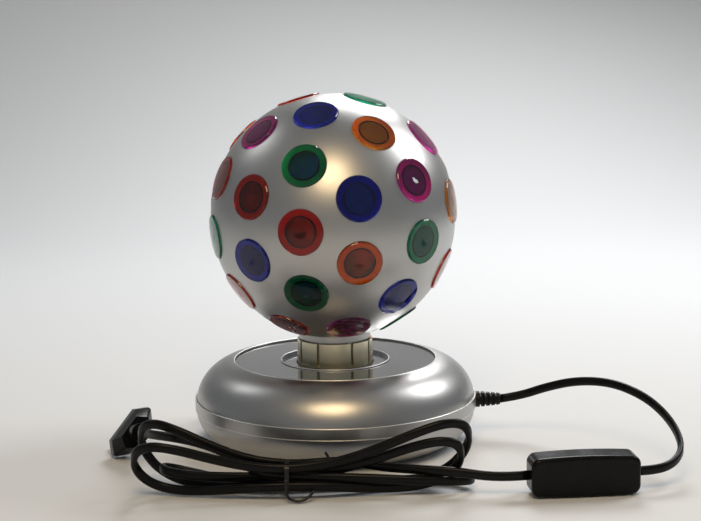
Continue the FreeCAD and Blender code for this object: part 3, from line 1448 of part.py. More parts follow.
def hank_stations():
    """The hank's route as points with directions, from the switch's side to the plug's."""
    entry = [Vector(*point) for point in HANK_START]
    leave = [Vector(*point) for point in HANK_END]
    straight = float(size("cord_thick"))
    first_way = (entry[1] - entry[0]).normalize()
    stations = [(entry[1], first_way), (entry[1] + first_way * straight, first_way)]
    waist = Vector(WAIST_X, *WAIST_SLOTS[0])
    line = entry + [waist]
    for index in range(2, len(entry)):
        stations.append((line[index], (line[index + 1] - line[index - 1]).normalize()))
    for number, loop in enumerate(HANK_LOOPS):
        start, end = WAIST_SLOTS[number], WAIST_SLOTS[number + 1]
        for step in range(LOOP_STEPS):
            angle = math.pi * step / LOOP_STEPS
            here = loop_point(loop, start, end, angle)
            ahead = loop_point(loop, start, end, angle + 0.001)
            behind = loop_point(loop, start, end, max(angle - 0.001, 0.0))
            stations.append((here, (ahead - behind).normalize()))
    waist = Vector(WAIST_X, *WAIST_SLOTS[-1])
    stations.append((waist, Vector(-1, 0, 0)))
    stations.append((leave[0], (leave[1] - waist).normalize()))
    last_way = (leave[2] - leave[1]).normalize()
    stations.append((leave[1] - last_way * straight, last_way))
    stations.append((leave[1], last_way))
    return stations


def least_gap(points, thick):
    """Least gap of a tube to itself, between points that lie well apart along it."""
    along = [0.0]
    for index in range(1, len(points)):
        along.append(along[-1] + (points[index] - points[index - 1]).Length)
    least = 1e9
    for first in range(len(points)):
        for second in range(first + 1, len(points)):
            if along[second] - along[first] > thick * 3.5:
                least = min(least, (points[second] - points[first]).Length)
    return least - thick


def make_hank():
    """The hank as one tube on pairs of arcs, and the tie round its waist."""
    thick = float(size("cord_thick"))
    stations = hank_stations()
    edges = []
    radii = []
    points = []
    for index in range(len(stations) - 1):
        (start, start_way), (end, end_way) = stations[index], stations[index + 1]
        pair = arc_pair(start, start_way, end, end_way)
        straight = pair[0][1] > 1e6 and pair[1][1] > 1e6
        if straight:
            edges.append(Part.LineSegment(start, end).toShape())
            points += [start, (start + end) * 0.5]
            continue
        first, second = pair
        edges += [first[0], second[0]]
        radii += [first[1], second[1]]
        points += first[0].discretize(5)[:-1]
        points += sorted(second[0].discretize(5), key=lambda spot: (spot - first[2][2]).Length)[:-1]
    points.append(stations[-1][0])
    path = Part.Wire(edges)
    profile = Part.Wire([Part.Circle(stations[0][0], stations[0][1], thick / 2).toShape()])
    solid = path.makePipeShell([profile], True, False)
    expected = math.pi * thick * thick / 4 * path.Length
    print("cord_hank: length %.1f, least radius %.1f, least gap %.2f, lowest %.2f, volume ratio %.4f" % (
        path.Length, min(radii), least_gap(points, thick), min(spot.z for spot in points) - thick / 2,
        solid.Volume / expected))
    node("cord_hank", feature("hank", solid))
    make_tie()


def make_tie():
    """A thin band round the strands in the waist."""
    outer_strands = [WAIST_SLOTS[index] for index in (0, 2, 3, 5, 4)]
    half = float(size("tie_width")) / 2
    corners = [Vector(WAIST_X - half, y, z) for y, z in outer_strands]
    outline = Part.makePolygon(corners + corners[:1])
    near = float(cord_radius + part_gap)
    inside = Part.Face(outline.makeOffset2D(near))
    outside = Part.Face(outline.makeOffset2D(near + float(size("tie_thick"))))
    band = outside.cut(inside).extrude(Vector(half * 2, 0, 0))
    node("hank_tie", feature("tie_band", band))


def plug_cord_end():
    """Where the cord meets the plug's boss, and the direction in which it goes in."""
    way = Vector(PLUG_PINS_WAY).normalize()
    reach = float(size("plug_depth")) + float(size("plug_boss"))
    return PLUG_PLACE - way * reach, way


def make_cords():
    """The cord's free stretches and the tied hank between them."""
    thick = float(size("cord_thick"))
    boot_tip = float(size("shell_radius") + size("boot_reach"))
    level = float(cord_height)
    half = float(size("switch_length")) / 2
    middle = float(size("switch_depth")) / 2
    tube("cord_base_to_switch", [
        Vector(boot_tip, 0, level),
        Vector(boot_tip + 12.9, -0.6, level + 1.9),
        Vector(131, -7, 32),
        Vector(148, -20, 39),
        Vector(166, -37, 41.8),
        Vector(181, -55, 38.2),
        Vector(190, -71, 32),
        Vector(194.8, -86.5, 24.6),
        Vector(194.6, -100.5, 18),
        Vector(187.8, -111.9, 13.6),
        switch_point(half + 11, middle),
        switch_point(half, middle),
    ], thick)
    tube("cord_switch_to_hank", [
        switch_point(-half, middle),
        switch_point(-half - 17, middle) + Vector(0, 0, -0.8),
        Vector(*HANK_START[0]),
        Vector(*HANK_START[1]),
    ], thick)
    make_hank()
    end, way = plug_cord_end()
    tube("cord_hank_to_plug", [
        Vector(*HANK_END[1]),
        Vector(*HANK_END[2]),
        Vector(-80, -94.5, 25.2),
        Vector(-93.5, -87.5, 25.9),
        Vector(-103.5, -78.5, 24.8),
        end - way * 14,
        end,
    ], thick)


# Build everything
make_cover()
make_lower_shell()
make_top_disc()
make_feet()
large_screws("base_screws", ring_places(4, size("pillar_circle"), 45.0),
             size("screw_seat"), size("base_screw_length"))
small_screws("disc_screws", ring_places(3, ledge_circle, 60.0), ledge_low, size("disc_screw_length"))
make_carrier()
large_screws("carrier_screws", ring_places(3, size("boss_circle")),
             carrier_low, size("carrier_screw_length"))
node("thrust_washer", ring("washer", size("journal_radius") + part_gap, size("washer_radius"),
                           carrier_top, size("washer_thick")))
node("retaining_clip", ring("clip", size("journal_radius") - size("clip_bite") + running_gap,
                            size("clip_radius"), gear_top + face_gap, size("clip_thick")))
make_drive_gear()
small_screws("collar_screws", collar_screw_places(), gear_low + size("small_head") + face_gap,
             size("hub_height") - size("small_head") - face_gap + size("collar_screw_grip"))
make_motor()
large_screws("motor_screws", motor_ears(), plate_low, size("motor_screw_length"))
make_collar()
make_ball()
make_lamp()
make_boot()
make_cord_fittings()
make_inner_leads()
make_switch()
make_plug()
make_cords()

doc.recompute()
faults = []
for item in doc.Objects:
    if "Invalid" in item.State or "Error" in item.State:
        faults.append("%s: %s" % (item.Name, item.State))
for piece in nodes:
    shape = piece.Shape
    if shape.isNull() or not shape.isValid() or shape.Volume <= 0:
        faults.append("%s has no sound shape" % piece.Label)
if faults:
    raise RuntimeError("; ".join(faults))

os.makedirs("parts", exist_ok=True)
for piece in nodes:
    piece.Shape.exportStep("parts/%s.step" % piece.Label)
print("%d pieces written" % len(nodes))
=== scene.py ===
"""Looks of the rotating motion lamp.

A silver ball set with coloured lenses turns on a slit collar over a round silver base. A flat
black cord leaves the base through a ribbed boot, passes a cord switch, lies in a tied hank in
front of the base and ends in a flat plug. Metres, +Z up, the camera on the -Y side. The cord's
routes, the tie's tails and the rings painted bright as highlight lines are written in
millimetres.
"""

import json
import logging
import math
from dataclasses import dataclass, field
from enum import Enum
from typing import Any, Dict, List, Optional, Sequence, Tuple

import bmesh
import bpy
from mathutils import Matrix, Vector

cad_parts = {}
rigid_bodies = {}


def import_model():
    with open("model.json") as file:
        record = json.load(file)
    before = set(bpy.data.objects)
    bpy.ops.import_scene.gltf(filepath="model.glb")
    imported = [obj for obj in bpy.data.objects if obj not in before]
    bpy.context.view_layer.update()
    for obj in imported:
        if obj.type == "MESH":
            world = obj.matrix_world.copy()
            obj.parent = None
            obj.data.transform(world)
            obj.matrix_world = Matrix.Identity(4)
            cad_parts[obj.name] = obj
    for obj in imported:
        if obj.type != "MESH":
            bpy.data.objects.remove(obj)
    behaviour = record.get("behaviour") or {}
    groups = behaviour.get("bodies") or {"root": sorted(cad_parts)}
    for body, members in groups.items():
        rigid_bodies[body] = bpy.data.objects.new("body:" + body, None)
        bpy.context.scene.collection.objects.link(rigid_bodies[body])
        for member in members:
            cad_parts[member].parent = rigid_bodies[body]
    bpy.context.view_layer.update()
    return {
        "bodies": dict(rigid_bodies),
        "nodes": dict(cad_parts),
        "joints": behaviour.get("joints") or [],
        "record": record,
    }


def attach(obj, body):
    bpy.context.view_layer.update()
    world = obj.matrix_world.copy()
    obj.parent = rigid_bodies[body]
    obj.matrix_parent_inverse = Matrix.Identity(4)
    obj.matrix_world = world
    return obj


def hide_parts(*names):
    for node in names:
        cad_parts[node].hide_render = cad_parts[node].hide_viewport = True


LOG = logging.getLogger("motion_lamp")
Colour = Tuple[float, float, float]
Place = Tuple[float, float, float]
MM = 0.001
BALL_CENTRE: Place = (0.0, 0.0, 0.14024)


class Body(Enum):
    """The body that the scene's own pieces ride on."""

    BASE = "base"


class Graph:
    """A material's or group's node tree with short calls for adding and joining nodes."""

    def __init__(self, tree: bpy.types.NodeTree) -> None:
        """Keeps the tree.

        Args:
            tree: the node tree to fill.
        """
        self.tree = tree

    def feed(self, node: bpy.types.Node, inputs: Dict[Any, Any]) -> None:
        """Feeds a node's inputs.

        Args:
            node: the node.
            inputs: constants or output sockets, by the input's name or number.
        """
        for key, value in inputs.items():
            socket = node.inputs[key]
            if isinstance(value, bpy.types.NodeSocket):
                self.tree.links.new(value, socket)
            else:
                socket.default_value = value

    def add(self, kind: str, inputs: Optional[Dict[Any, Any]] = None,
            **settings: Any) -> bpy.types.Node:
        """Adds a node.

        Args:
            kind: the node's type name.
            inputs: constants or output sockets, by the input's name or number.
            settings: its other properties.

        Returns:
            The new node.
        """
        node = self.tree.nodes.new(kind)
        for name, value in settings.items():
            setattr(node, name, value)
        self.feed(node, inputs or {})
        return node

    def place(self) -> bpy.types.NodeSocket:
        """The Object coordinates."""
        return self.add("ShaderNodeTexCoord").outputs["Object"]

    def maths(self, operation: str, *values: Any) -> bpy.types.NodeSocket:
        """Adds a Math node.

        Args:
            operation: the operation's name.
            values: constants or sockets, in order.

        Returns:
            The result's socket.
        """
        inputs = dict(enumerate(values))
        return self.add("ShaderNodeMath", inputs, operation=operation).outputs[0]

    def mix(self, factor: bpy.types.NodeSocket, first: Any, second: Any) -> bpy.types.NodeSocket:
        """Mixes two colours by a mask.

        Args:
            factor: the mask.
            first: the colour at 0, as a constant or a socket.
            second: the colour at 1, as a constant or a socket.

        Returns:
            The colour's socket.
        """
        start, end = ((*side, 1.0) if isinstance(side, tuple) else side
                      for side in (first, second))
        node = self.add("ShaderNodeMix", {"Factor": factor, "A": start, "B": end},
                        data_type="RGBA")
        return node.outputs["Result"]

    def effect(self, tree: bpy.types.NodeTree, inputs: Dict[str, Any]) -> bpy.types.Node:
        """Places a shared effect.

        Args:
            tree: the effect.
            inputs: its values by name.

        Returns:
            The group node.
        """
        return self.add("ShaderNodeGroup", inputs, node_tree=tree)


class Effects:
    """Shared effects, each one a node group that is built once."""

    SLOW_SHARE = 0.35

    @staticmethod
    def _group(name: str, inputs: Dict[str, Any],
               outputs: Sequence[str]) -> Tuple[bpy.types.NodeTree, Graph, bpy.types.Node]:
        """Makes an empty group with its sockets.

        Args:
            name: the group's name.
            inputs: its numbers with their defaults; None stands for a vector.
            outputs: its numbers' names.

        Returns:
            The group, a graph on it and the node that holds its inputs.
        """
        tree = bpy.data.node_groups.new(name, "ShaderNodeTree")
        for label, default in inputs.items():
            kind = "NodeSocketVector" if default is None else "NodeSocketFloat"
            socket = tree.interface.new_socket(label, in_out="INPUT", socket_type=kind)
            if default is not None:
                socket.default_value = default
        for label in outputs:
            tree.interface.new_socket(label, in_out="OUTPUT", socket_type="NodeSocketFloat")
        graph = Graph(tree)
        return tree, graph, graph.add("NodeGroupInput")

    @staticmethod
    def fine_grain() -> bpy.types.NodeTree:
        """A fine uneven surface over a slow unevenness.

        Returns:
            A group that puts out a Height and a Mottle from 0 to 1.
        """
        name = "fine_grain"
        if name in bpy.data.node_groups:
            return bpy.data.node_groups[name]
        tree, graph, given = Effects._group(
            name, {"Vector": None, "Fine Scale": 900.0, "Slow Scale": 40.0},
            ("Height", "Mottle"))
        fine = graph.add("ShaderNodeTexNoise", {
            "Vector": given.outputs["Vector"], "Scale": given.outputs["Fine Scale"],
            "Detail": 3.0, "Roughness": 0.6})
        slow = graph.add("ShaderNodeTexNoise", {
            "Vector": given.outputs["Vector"], "Scale": given.outputs["Slow Scale"],
            "Detail": 4.0, "Roughness": 0.55})
        waves = graph.maths("MULTIPLY", slow.outputs["Fac"], Effects.SLOW_SHARE)
        mottle = graph.add("ShaderNodeMapRange", {
            "Value": slow.outputs["Fac"], "From Min": 0.35, "From Max": 0.65})
        graph.add("NodeGroupOutput", {
            "Height": graph.maths("ADD", fine.outputs["Fac"], waves),
            "Mottle": mottle.outputs["Result"]})
        return tree

    @staticmethod
    def inside_mask() -> bpy.types.NodeTree:
        """Tells the inner side of a round shell from its outside.

        Returns:
            A group that puts out a Mask, 1 nearer to the Centre than the Radius.
        """
        name = "inside_mask"
        if name in bpy.data.node_groups:
            return bpy.data.node_groups[name]
        tree, graph, given = Effects._group(
            name, {"Vector": None, "Centre": None, "Radius": 0.07}, ("Mask",))
        reach = graph.add("ShaderNodeVectorMath", {
            0: given.outputs["Vector"], 1: given.outputs["Centre"]}, operation="DISTANCE")
        graph.add("NodeGroupOutput", {
            "Mask": graph.maths("LESS_THAN", reach.outputs["Value"], given.outputs["Radius"])})
        return tree


def new_material(name: str) -> Tuple[bpy.types.Material, Graph, bpy.types.Node]:
    """Makes a material with its Principled shader.

    Args:
        name: the material's name.

    Returns:
        The material, a graph on it, and its shader.
    """
    material = bpy.data.materials.new(name)
    material.use_nodes = True
    return material, Graph(material.node_tree), material.node_tree.nodes["Principled BSDF"]


@dataclass(frozen=True)
class SurfaceFinish:
    """An opaque finish with a fine grain and an uneven tone."""

    name: str
    colour: Colour
    shade: Colour
    metallic: float = 0.0
    roughness: float = 0.4
    roughness_spread: float = 0.1
    grain_scale: float = 1200.0
    slow_scale: float = 90.0
    bump: float = 0.1
    bump_distance: float = 0.0001
    specular: float = 0.5

    def material(self) -> bpy.types.Material:
        """Builds the material.

        Returns:
            The material.
        """
        material, graph, shader = new_material(self.name)
        grain = graph.effect(Effects.fine_grain(), {
            "Vector": graph.place(), "Fine Scale": self.grain_scale,
            "Slow Scale": self.slow_scale})
        mottle = grain.outputs["Mottle"]
        rough = graph.add("ShaderNodeMapRange", {
            "Value": mottle,
            "To Min": self.roughness - self.roughness_spread / 2,
            "To Max": self.roughness + self.roughness_spread / 2})
        bump = graph.add("ShaderNodeBump", {
            "Strength": self.bump, "Distance": self.bump_distance,
            "Height": grain.outputs["Height"]})
        graph.feed(shader, {
            "Base Color": graph.mix(mottle, self.colour, self.shade),
            "Roughness": rough.outputs["Result"],
            "Normal": bump.outputs["Normal"],
            "Metallic": self.metallic,
            "Specular IOR Level": self.specular})
        return material


@dataclass(frozen=True)
class ShellFinish(SurfaceFinish):
    """A metallised finish on the outside of a round shell, near-black and not metallic on its
    inside.
    """

    centre: Place = BALL_CENTRE
    radius: float = 0.0729
    inner: Colour = (0.012, 0.012, 0.012)

    def material(self) -> bpy.types.Material:
        """Builds the material.

        Returns:
            The material.
        """
        material = super().material()
        graph = Graph(material.node_tree)
        shader = graph.tree.nodes["Principled BSDF"]
        inside = graph.effect(Effects.inside_mask(), {
            "Vector": graph.place(), "Centre": self.centre,
            "Radius": self.radius}).outputs["Mask"]
        outer = shader.inputs["Base Color"].links[0].from_socket
        graph.feed(shader, {
            "Base Color": graph.mix(inside, outer, self.inner),
            "Metallic": graph.maths("SUBTRACT", 1.0, inside)})
        return material


@dataclass(frozen=True)
class LensFinish:
    """Clear coloured plastic with fine flow marks, frosted behind, with a painted shade on its
    inner part where the dark inside of the ball shows through.
    """

    name: str
    colour: Colour
    deep: Colour
    # Painted shade: the darker colour of the lens's inner part, standing in for the dark inside
    # of the ball seen through it.
    middle: Colour
    roughness: float = 0.03
    back_roughness: float = 0.35
    centre: Place = BALL_CENTRE
    back_radius: float = 0.0745
    painted_shade_radius: float = 0.07375
    grain_scale: float = 160.0
    slow_scale: float = 70.0
    bump: float = 0.12
    bump_distance: float = 0.0002
    refraction: float = 1.49

    def material(self) -> bpy.types.Material:
        """Builds the material.

        Returns:
            The material.
        """
        material, graph, shader = new_material(self.name)
        place = graph.place()
        grain = graph.effect(Effects.fine_grain(), {
            "Vector": place, "Fine Scale": self.grain_scale, "Slow Scale": self.slow_scale})
        tone = graph.mix(grain.outputs["Mottle"], self.colour, self.deep)
        # The first mask picks the lens's inner part, painted darker as shade; the second picks
        # its frosted back.
        painted_shade_core, behind = (
            graph.effect(Effects.inside_mask(), {
                "Vector": place, "Centre": self.centre, "Radius": radius}).outputs["Mask"]
            for radius in (self.painted_shade_radius, self.back_radius))
        bump = graph.add("ShaderNodeBump", {
            "Strength": self.bump, "Distance": self.bump_distance,
            "Height": grain.outputs["Height"]})
        rough = graph.add("ShaderNodeMapRange", {
            "Value": behind, "To Min": self.roughness, "To Max": self.back_roughness})
        graph.feed(shader, {
            "Base Color": graph.mix(painted_shade_core, tone, self.middle),
            "Roughness": rough.outputs["Result"],
            "Normal": bump.outputs["Normal"],
            "Transmission Weight": 1.0,
            "IOR": self.refraction})
        return material


@dataclass(frozen=True)
class Finishes:
    """Every finish on the lamp."""

    ball: ShellFinish = ShellFinish(
        "metallised_ball", (0.50, 0.495, 0.485), (0.47, 0.465, 0.455), metallic=1.0,
        roughness=0.38, roughness_spread=0.04, grain_scale=600.0, slow_scale=22.0, bump=0.02,
        bump_distance=0.00005)
    base: SurfaceFinish = SurfaceFinish(
        "metallised_base", (0.47, 0.462, 0.45), (0.44, 0.435, 0.43), metallic=1.0,
        roughness=0.35, roughness_spread=0.04, grain_scale=600.0, slow_scale=26.0, bump=0.02,
        bump_distance=0.00005)
    # Painted highlight: a metal far paler than the base, so that the thin rings on the base's
    # edges show as bright glint lines.
    painted_glint: SurfaceFinish = SurfaceFinish(
        "painted_glint_edge", (0.86, 0.84, 0.80), (0.80, 0.79, 0.76), metallic=1.0,
        roughness=0.38, roughness_spread=0.05, grain_scale=600.0, slow_scale=60.0, bump=0.02,
        bump_distance=0.00004)
    disc: SurfaceFinish = SurfaceFinish(
        "metallised_disc", (0.50, 0.50, 0.50), (0.48, 0.48, 0.48), metallic=1.0,
        roughness=0.13, roughness_spread=0.04, grain_scale=600.0, slow_scale=30.0, bump=0.015,
        bump_distance=0.00004)
    collar: SurfaceFinish = SurfaceFinish(
        "brushed_collar", (0.76, 0.70, 0.52), (0.70, 0.64, 0.47), metallic=1.0,
        roughness=0.30, roughness_spread=0.05, grain_scale=600.0, slow_scale=60.0, bump=0.02,
        bump_distance=0.00004)
    black: SurfaceFinish = SurfaceFinish(
        "black_moulding", (0.0024, 0.0024, 0.0028), (0.0045, 0.0045, 0.005), roughness=0.26,
        grain_scale=1500.0, bump=0.08, specular=0.15)
    boot: SurfaceFinish = SurfaceFinish(
        "soft_black_boot", (0.0024, 0.0024, 0.0024), (0.005, 0.005, 0.005), roughness=0.42,
        specular=0.20)
    cord: SurfaceFinish = SurfaceFinish(
        "black_cord_sheath", (0.0022, 0.0021, 0.002), (0.0042, 0.004, 0.0037), roughness=0.32,
        grain_scale=1500.0, slow_scale=120.0, bump=0.08, specular=0.18)
    wire_tie: SurfaceFinish = SurfaceFinish(
        "black_wire_tie", (0.006, 0.006, 0.006), (0.012, 0.012, 0.012), roughness=0.34,
        grain_scale=1500.0, slow_scale=120.0, bump=0.12, specular=0.35)
    rubber: SurfaceFinish = SurfaceFinish(
        "foot_rubber", (0.02, 0.02, 0.02), (0.03, 0.03, 0.03), roughness=0.75,
        grain_scale=900.0, bump=0.2, bump_distance=0.0002)
    white: SurfaceFinish = SurfaceFinish(
        "natural_white_plastic", (0.78, 0.77, 0.74), (0.72, 0.71, 0.68), roughness=0.42,
        grain_scale=900.0, slow_scale=50.0, bump=0.08)
    steel: SurfaceFinish = SurfaceFinish(
        "zinc_plated_steel", (0.56, 0.57, 0.58), (0.46, 0.47, 0.49), metallic=1.0,
        roughness=0.32, roughness_spread=0.14, slow_scale=120.0, bump=0.12)
    brass: SurfaceFinish = SurfaceFinish(
        "plain_brass", (0.78, 0.58, 0.26), (0.66, 0.48, 0.21), metallic=1.0, roughness=0.28,
        roughness_spread=0.12, slow_scale=120.0)
    holder: SurfaceFinish = SurfaceFinish(
        "dark_moulded_holder", (0.028, 0.022, 0.018), (0.04, 0.032, 0.026), roughness=0.32,
        slow_scale=70.0)
    nickel: SurfaceFinish = SurfaceFinish(
        "nickel_plug_pin", (0.62, 0.60, 0.56), (0.54, 0.52, 0.48), metallic=1.0,
        roughness=0.24, slow_scale=120.0, bump=0.08)
    # The third colour of each lens is a painted shade on its inner part.
    lens_red: LensFinish = LensFinish(
        "clear_red", (0.95, 0.09, 0.025), (0.90, 0.06, 0.02), (0.16, 0.008, 0.005),
        back_roughness=0.40)
    lens_orange: LensFinish = LensFinish(
        "clear_orange", (1.0, 0.36, 0.03), (0.97, 0.28, 0.02), (0.42, 0.17, 0.03),
        back_roughness=0.40)
    lens_green: LensFinish = LensFinish(
        "clear_green", (0.02, 0.55, 0.30), (0.01, 0.44, 0.22), (0.004, 0.10, 0.06))
    lens_blue: LensFinish = LensFinish(
        "clear_blue", (0.05, 0.07, 0.76), (0.03, 0.045, 0.62), (0.035, 0.04, 0.62))
    lens_magenta: LensFinish = LensFinish(
        "clear_magenta", (0.85, 0.06, 0.48), (0.75, 0.04, 0.38), (0.34, 0.02, 0.36))
    glass: LensFinish = LensFinish(
        "clear_bulb_glass", (0.97, 0.97, 0.95), (0.95, 0.95, 0.94), (0.96, 0.96, 0.94),
        back_roughness=0.03)


CAD_FINISHES: Dict[str, Tuple[str, ...]] = {
    "base": ("base_top_cover", "base_lower_shell"),
    "disc": ("top_disc",),
    "collar": ("rotating_collar",),
    "ball": ("ball_front_shell", "ball_back_shell"),
    "rubber": ("rubber_feet",),
    "white": ("ball_joint_hoop", "carrier_plate", "drive_gear", "motor_pinion", "cord_clamp",
              "terminal_block", "lamp_lead", "motor_lead"),
    "steel": ("base_screws", "disc_screws", "carrier_screws", "thrust_washer",
              "retaining_clip", "collar_screws", "motor_case", "motor_plate", "motor_shaft",
              "motor_screws", "lamp_tube", "lamp_tube_nuts", "bulb_cap", "bulb_filament",
              "clamp_screws", "switch_screws"),
    "brass": ("lampholder_liner", "lampholder_contact", "terminal_screws", "switch_contacts"),
    "holder": ("lampholder_body",),
    "black": ("switch_rocker", "plug_body", "pin_sleeves", "switch_lower_half",
              "switch_upper_half"),
    "nickel": ("plug_pins",),
    "boot": ("cord_boot",),
    "cord": ("inner_cord",),
    "wire_tie": ("hank_tie",),
    "lens_red": ("lenses_red",),
    "lens_orange": ("lenses_orange",),
    "lens_green": ("lenses_green",),
    "lens_blue": ("lenses_blue",),
    "lens_magenta": ("lenses_magenta",),
    "glass": ("bulb_glass",),
}


class Wardrobe:
    """Builds each finish once and puts it on pieces."""

    def __init__(self, finishes: Finishes) -> None:
        """Keeps the finishes.

        Args:
            finishes: every finish on the lamp.
        """
        self.finishes = finishes
        self.built: Dict[str, bpy.types.Material] = {}

    def material(self, key: str) -> bpy.types.Material:
        """The material of a finish, built at its first use."""
        if key not in self.built:
            self.built[key] = getattr(self.finishes, key).material()
        return self.built[key]

    def dress(self, obj: bpy.types.Object, key: str) -> None:
        """Puts a finish on an object.

        Args:
            obj: the object.
            key: the finish's name.
        """
        obj.data.materials.clear()
        obj.data.materials.append(self.material(key))

    def dress_cad(self, nodes: Dict[str, bpy.types.Object]) -> None:
        """Dresses every CAD node that stays.

        Args:
            nodes: the frame's nodes by name.
        """
        for key, names in CAD_FINISHES.items():
            for name in names:
                for slot in nodes[name].material_slots:
                    slot.material = self.material(key)
                LOG.info("%s wears %s", name, key)


def add_piece(name: str, bm: bmesh.types.BMesh) -> bpy.types.Object:
    """Turns a finished bmesh into a smooth piece at the origin.

    Args:
        name: the piece's name.
        bm: its mesh, which is used up.

    Returns:
        The object.
    """
    bmesh.ops.recalc_face_normals(bm, faces=bm.faces)
    mesh = bpy.data.meshes.new(name)
    bm.to_mesh(mesh)
    bm.free()
    mesh.shade_smooth()
    obj = bpy.data.objects.new(name, mesh)
    bpy.context.scene.collection.objects.link(obj)
    return obj


@dataclass(frozen=True)
class HankLoop:
    """One loop of the hank: how far it reaches, drifts and opens, and how it leans."""

    side: int
    reach: float
    back: float
    up: float
    half_width: float
    tilt: float
    strand: int
    # sin(2a) sin(a) is at most 1 / 1.3
    widest: float = 1.3

    def point(self, start: Tuple[float, float], end: Tuple[float, float],
              angle: float) -> Vector:
        """A point of the loop in millimetres.

        Args:
            start: the waist place (y, z) that it leaves from.
            end: the waist place that it comes back to.
            angle: from 0 at the waist to half a turn back at it.

        Returns:
            The point.
        """
        sine = math.sin(angle)
        done = (1 - math.cos(angle)) / 2
        lean = math.radians(self.tilt)
        across = self.half_width * self.widest * math.sin(2 * angle) * sine * self.strand
        y = start[0] * (1 - done) + end[0] * done + self.back * sine * sine
        z = start[1] * (1 - done) + end[1] * done + self.up * sine * sine
        return Vector((CordRoutes.WAIST_X + self.side * self.reach * sine,
                       y - across * math.cos(lean), z + across * math.sin(lean)))


class CordRoutes:
    """The routes of both stretches of cord, in millimetres."""

    WAIST_X = -27.3
    SWITCH_CENTRE = Vector((136.0, -130.5, 11.7))
    SWITCH_TURN = 4.5
    SWITCH_HALF = 30.3
    SWITCH_MIDDLE = 8.5
    SWITCH_LEAD_IN = 11
    SWITCH_LEAD_OUT = 17
    SWITCH_SAG = 0.8
    PLUG_PLACE = Vector((-125.5, -30.3, 14.1))
    PLUG_WAY = Vector((-0.382, 0.9, -0.208))
    PLUG_REACH = 26.0
    PLUG_LEAD_IN = 14
    LOOP_STEPS = 12
    # The waist places (y, z) that the loops leave from and come back to, in their order
    SLOTS = ((-117.4, 17.7), (-119.0, 5.8), (-123.4, 16.6), (-126.5, 8.1), (-113.4, 9.8),
             (-111.2, 3.5), (-120.3, 11.4))
    LOOPS = (
        HankLoop(side=-1, reach=82.8, back=19.9, up=17.2, half_width=14.9, tilt=60.5, strand=1),
        HankLoop(side=1, reach=101.3, back=7.7, up=19.6, half_width=16.2, tilt=59.4, strand=-1),
        HankLoop(side=-1, reach=84.2, back=4.0, up=9.4, half_width=14.5, tilt=53.1, strand=1),
        HankLoop(side=1, reach=96.3, back=-1.4, up=14.3, half_width=16.7, tilt=52.3, strand=-1),
        HankLoop(side=-1, reach=70.2, back=5.5, up=7.1, half_width=6.2, tilt=-8.0, strand=1),
        HankLoop(side=1, reach=103.3, back=5.7, up=-1.8, half_width=7.8, tilt=-1.1, strand=-1),
    )
    BASE_ROUTE = ((103.1, 0, 23.3), (116, -0.6, 25.2), (131, -7, 32), (148, -20, 39),
                  (166, -37, 41.8), (181, -55, 38.2), (190, -71, 32), (194.8, -86.5, 24.6),
                  (194.6, -100.5, 18), (187.8, -111.9, 13.6))
    HANK_START = ((66, -123.5, 13.9), (46, -118.8, 14.1), (26, -114.2, 14.4),
                  (6, -112.0, 18.0), (-11, -113.2, 17.2))
    HANK_END = ((-42, -119.3, 13.5), (-54, -110.4, 18.1), (-66, -102.0, 22.5),
                (-80, -94.5, 25.2), (-93.5, -87.5, 25.9), (-103.5, -78.5, 24.8))

    @classmethod
    def switch_end(cls, side: int, beyond: float = 0.0, drop: float = 0.0) -> Vector:
        """A point on the switch's middle line.

        Args:
            side: 1 for the end towards the base, -1 for the other.
            beyond: how far past the end face.
            drop: how far below the middle line.

        Returns:
            The point.
        """
        turn = math.radians(cls.SWITCH_TURN)
        along = Vector((math.cos(turn), math.sin(turn), 0))
        out = Vector((-math.sin(turn), math.cos(turn), 0))
        return (cls.SWITCH_CENTRE + along * (side * (cls.SWITCH_HALF + beyond))
                + out * cls.SWITCH_MIDDLE - Vector((0, 0, drop)))

    @classmethod
    def to_switch(cls) -> List[Vector]:
        """The control points from the boot to the switch."""
        points = [Vector(point) for point in cls.BASE_ROUTE]
        return points + [cls.switch_end(1, cls.SWITCH_LEAD_IN), cls.switch_end(1)]

    @classmethod
    def to_plug(cls) -> List[Vector]:
        """The control points from the switch through the hank to the plug."""
        points = [cls.switch_end(-1),
                  cls.switch_end(-1, cls.SWITCH_LEAD_OUT, cls.SWITCH_SAG)]
        points += [Vector(point) for point in cls.HANK_START]
        for loop, start, end in zip(cls.LOOPS, cls.SLOTS, cls.SLOTS[1:]):
            for step in range(cls.LOOP_STEPS):
                points.append(loop.point(start, end, math.pi * step / cls.LOOP_STEPS))
        points.append(Vector((cls.WAIST_X, *cls.SLOTS[-1])))
        points += [Vector(point) for point in cls.HANK_END]
        way = cls.PLUG_WAY.normalized()
        end = cls.PLUG_PLACE - way * cls.PLUG_REACH
        return points + [end - way * cls.PLUG_LEAD_IN, end]


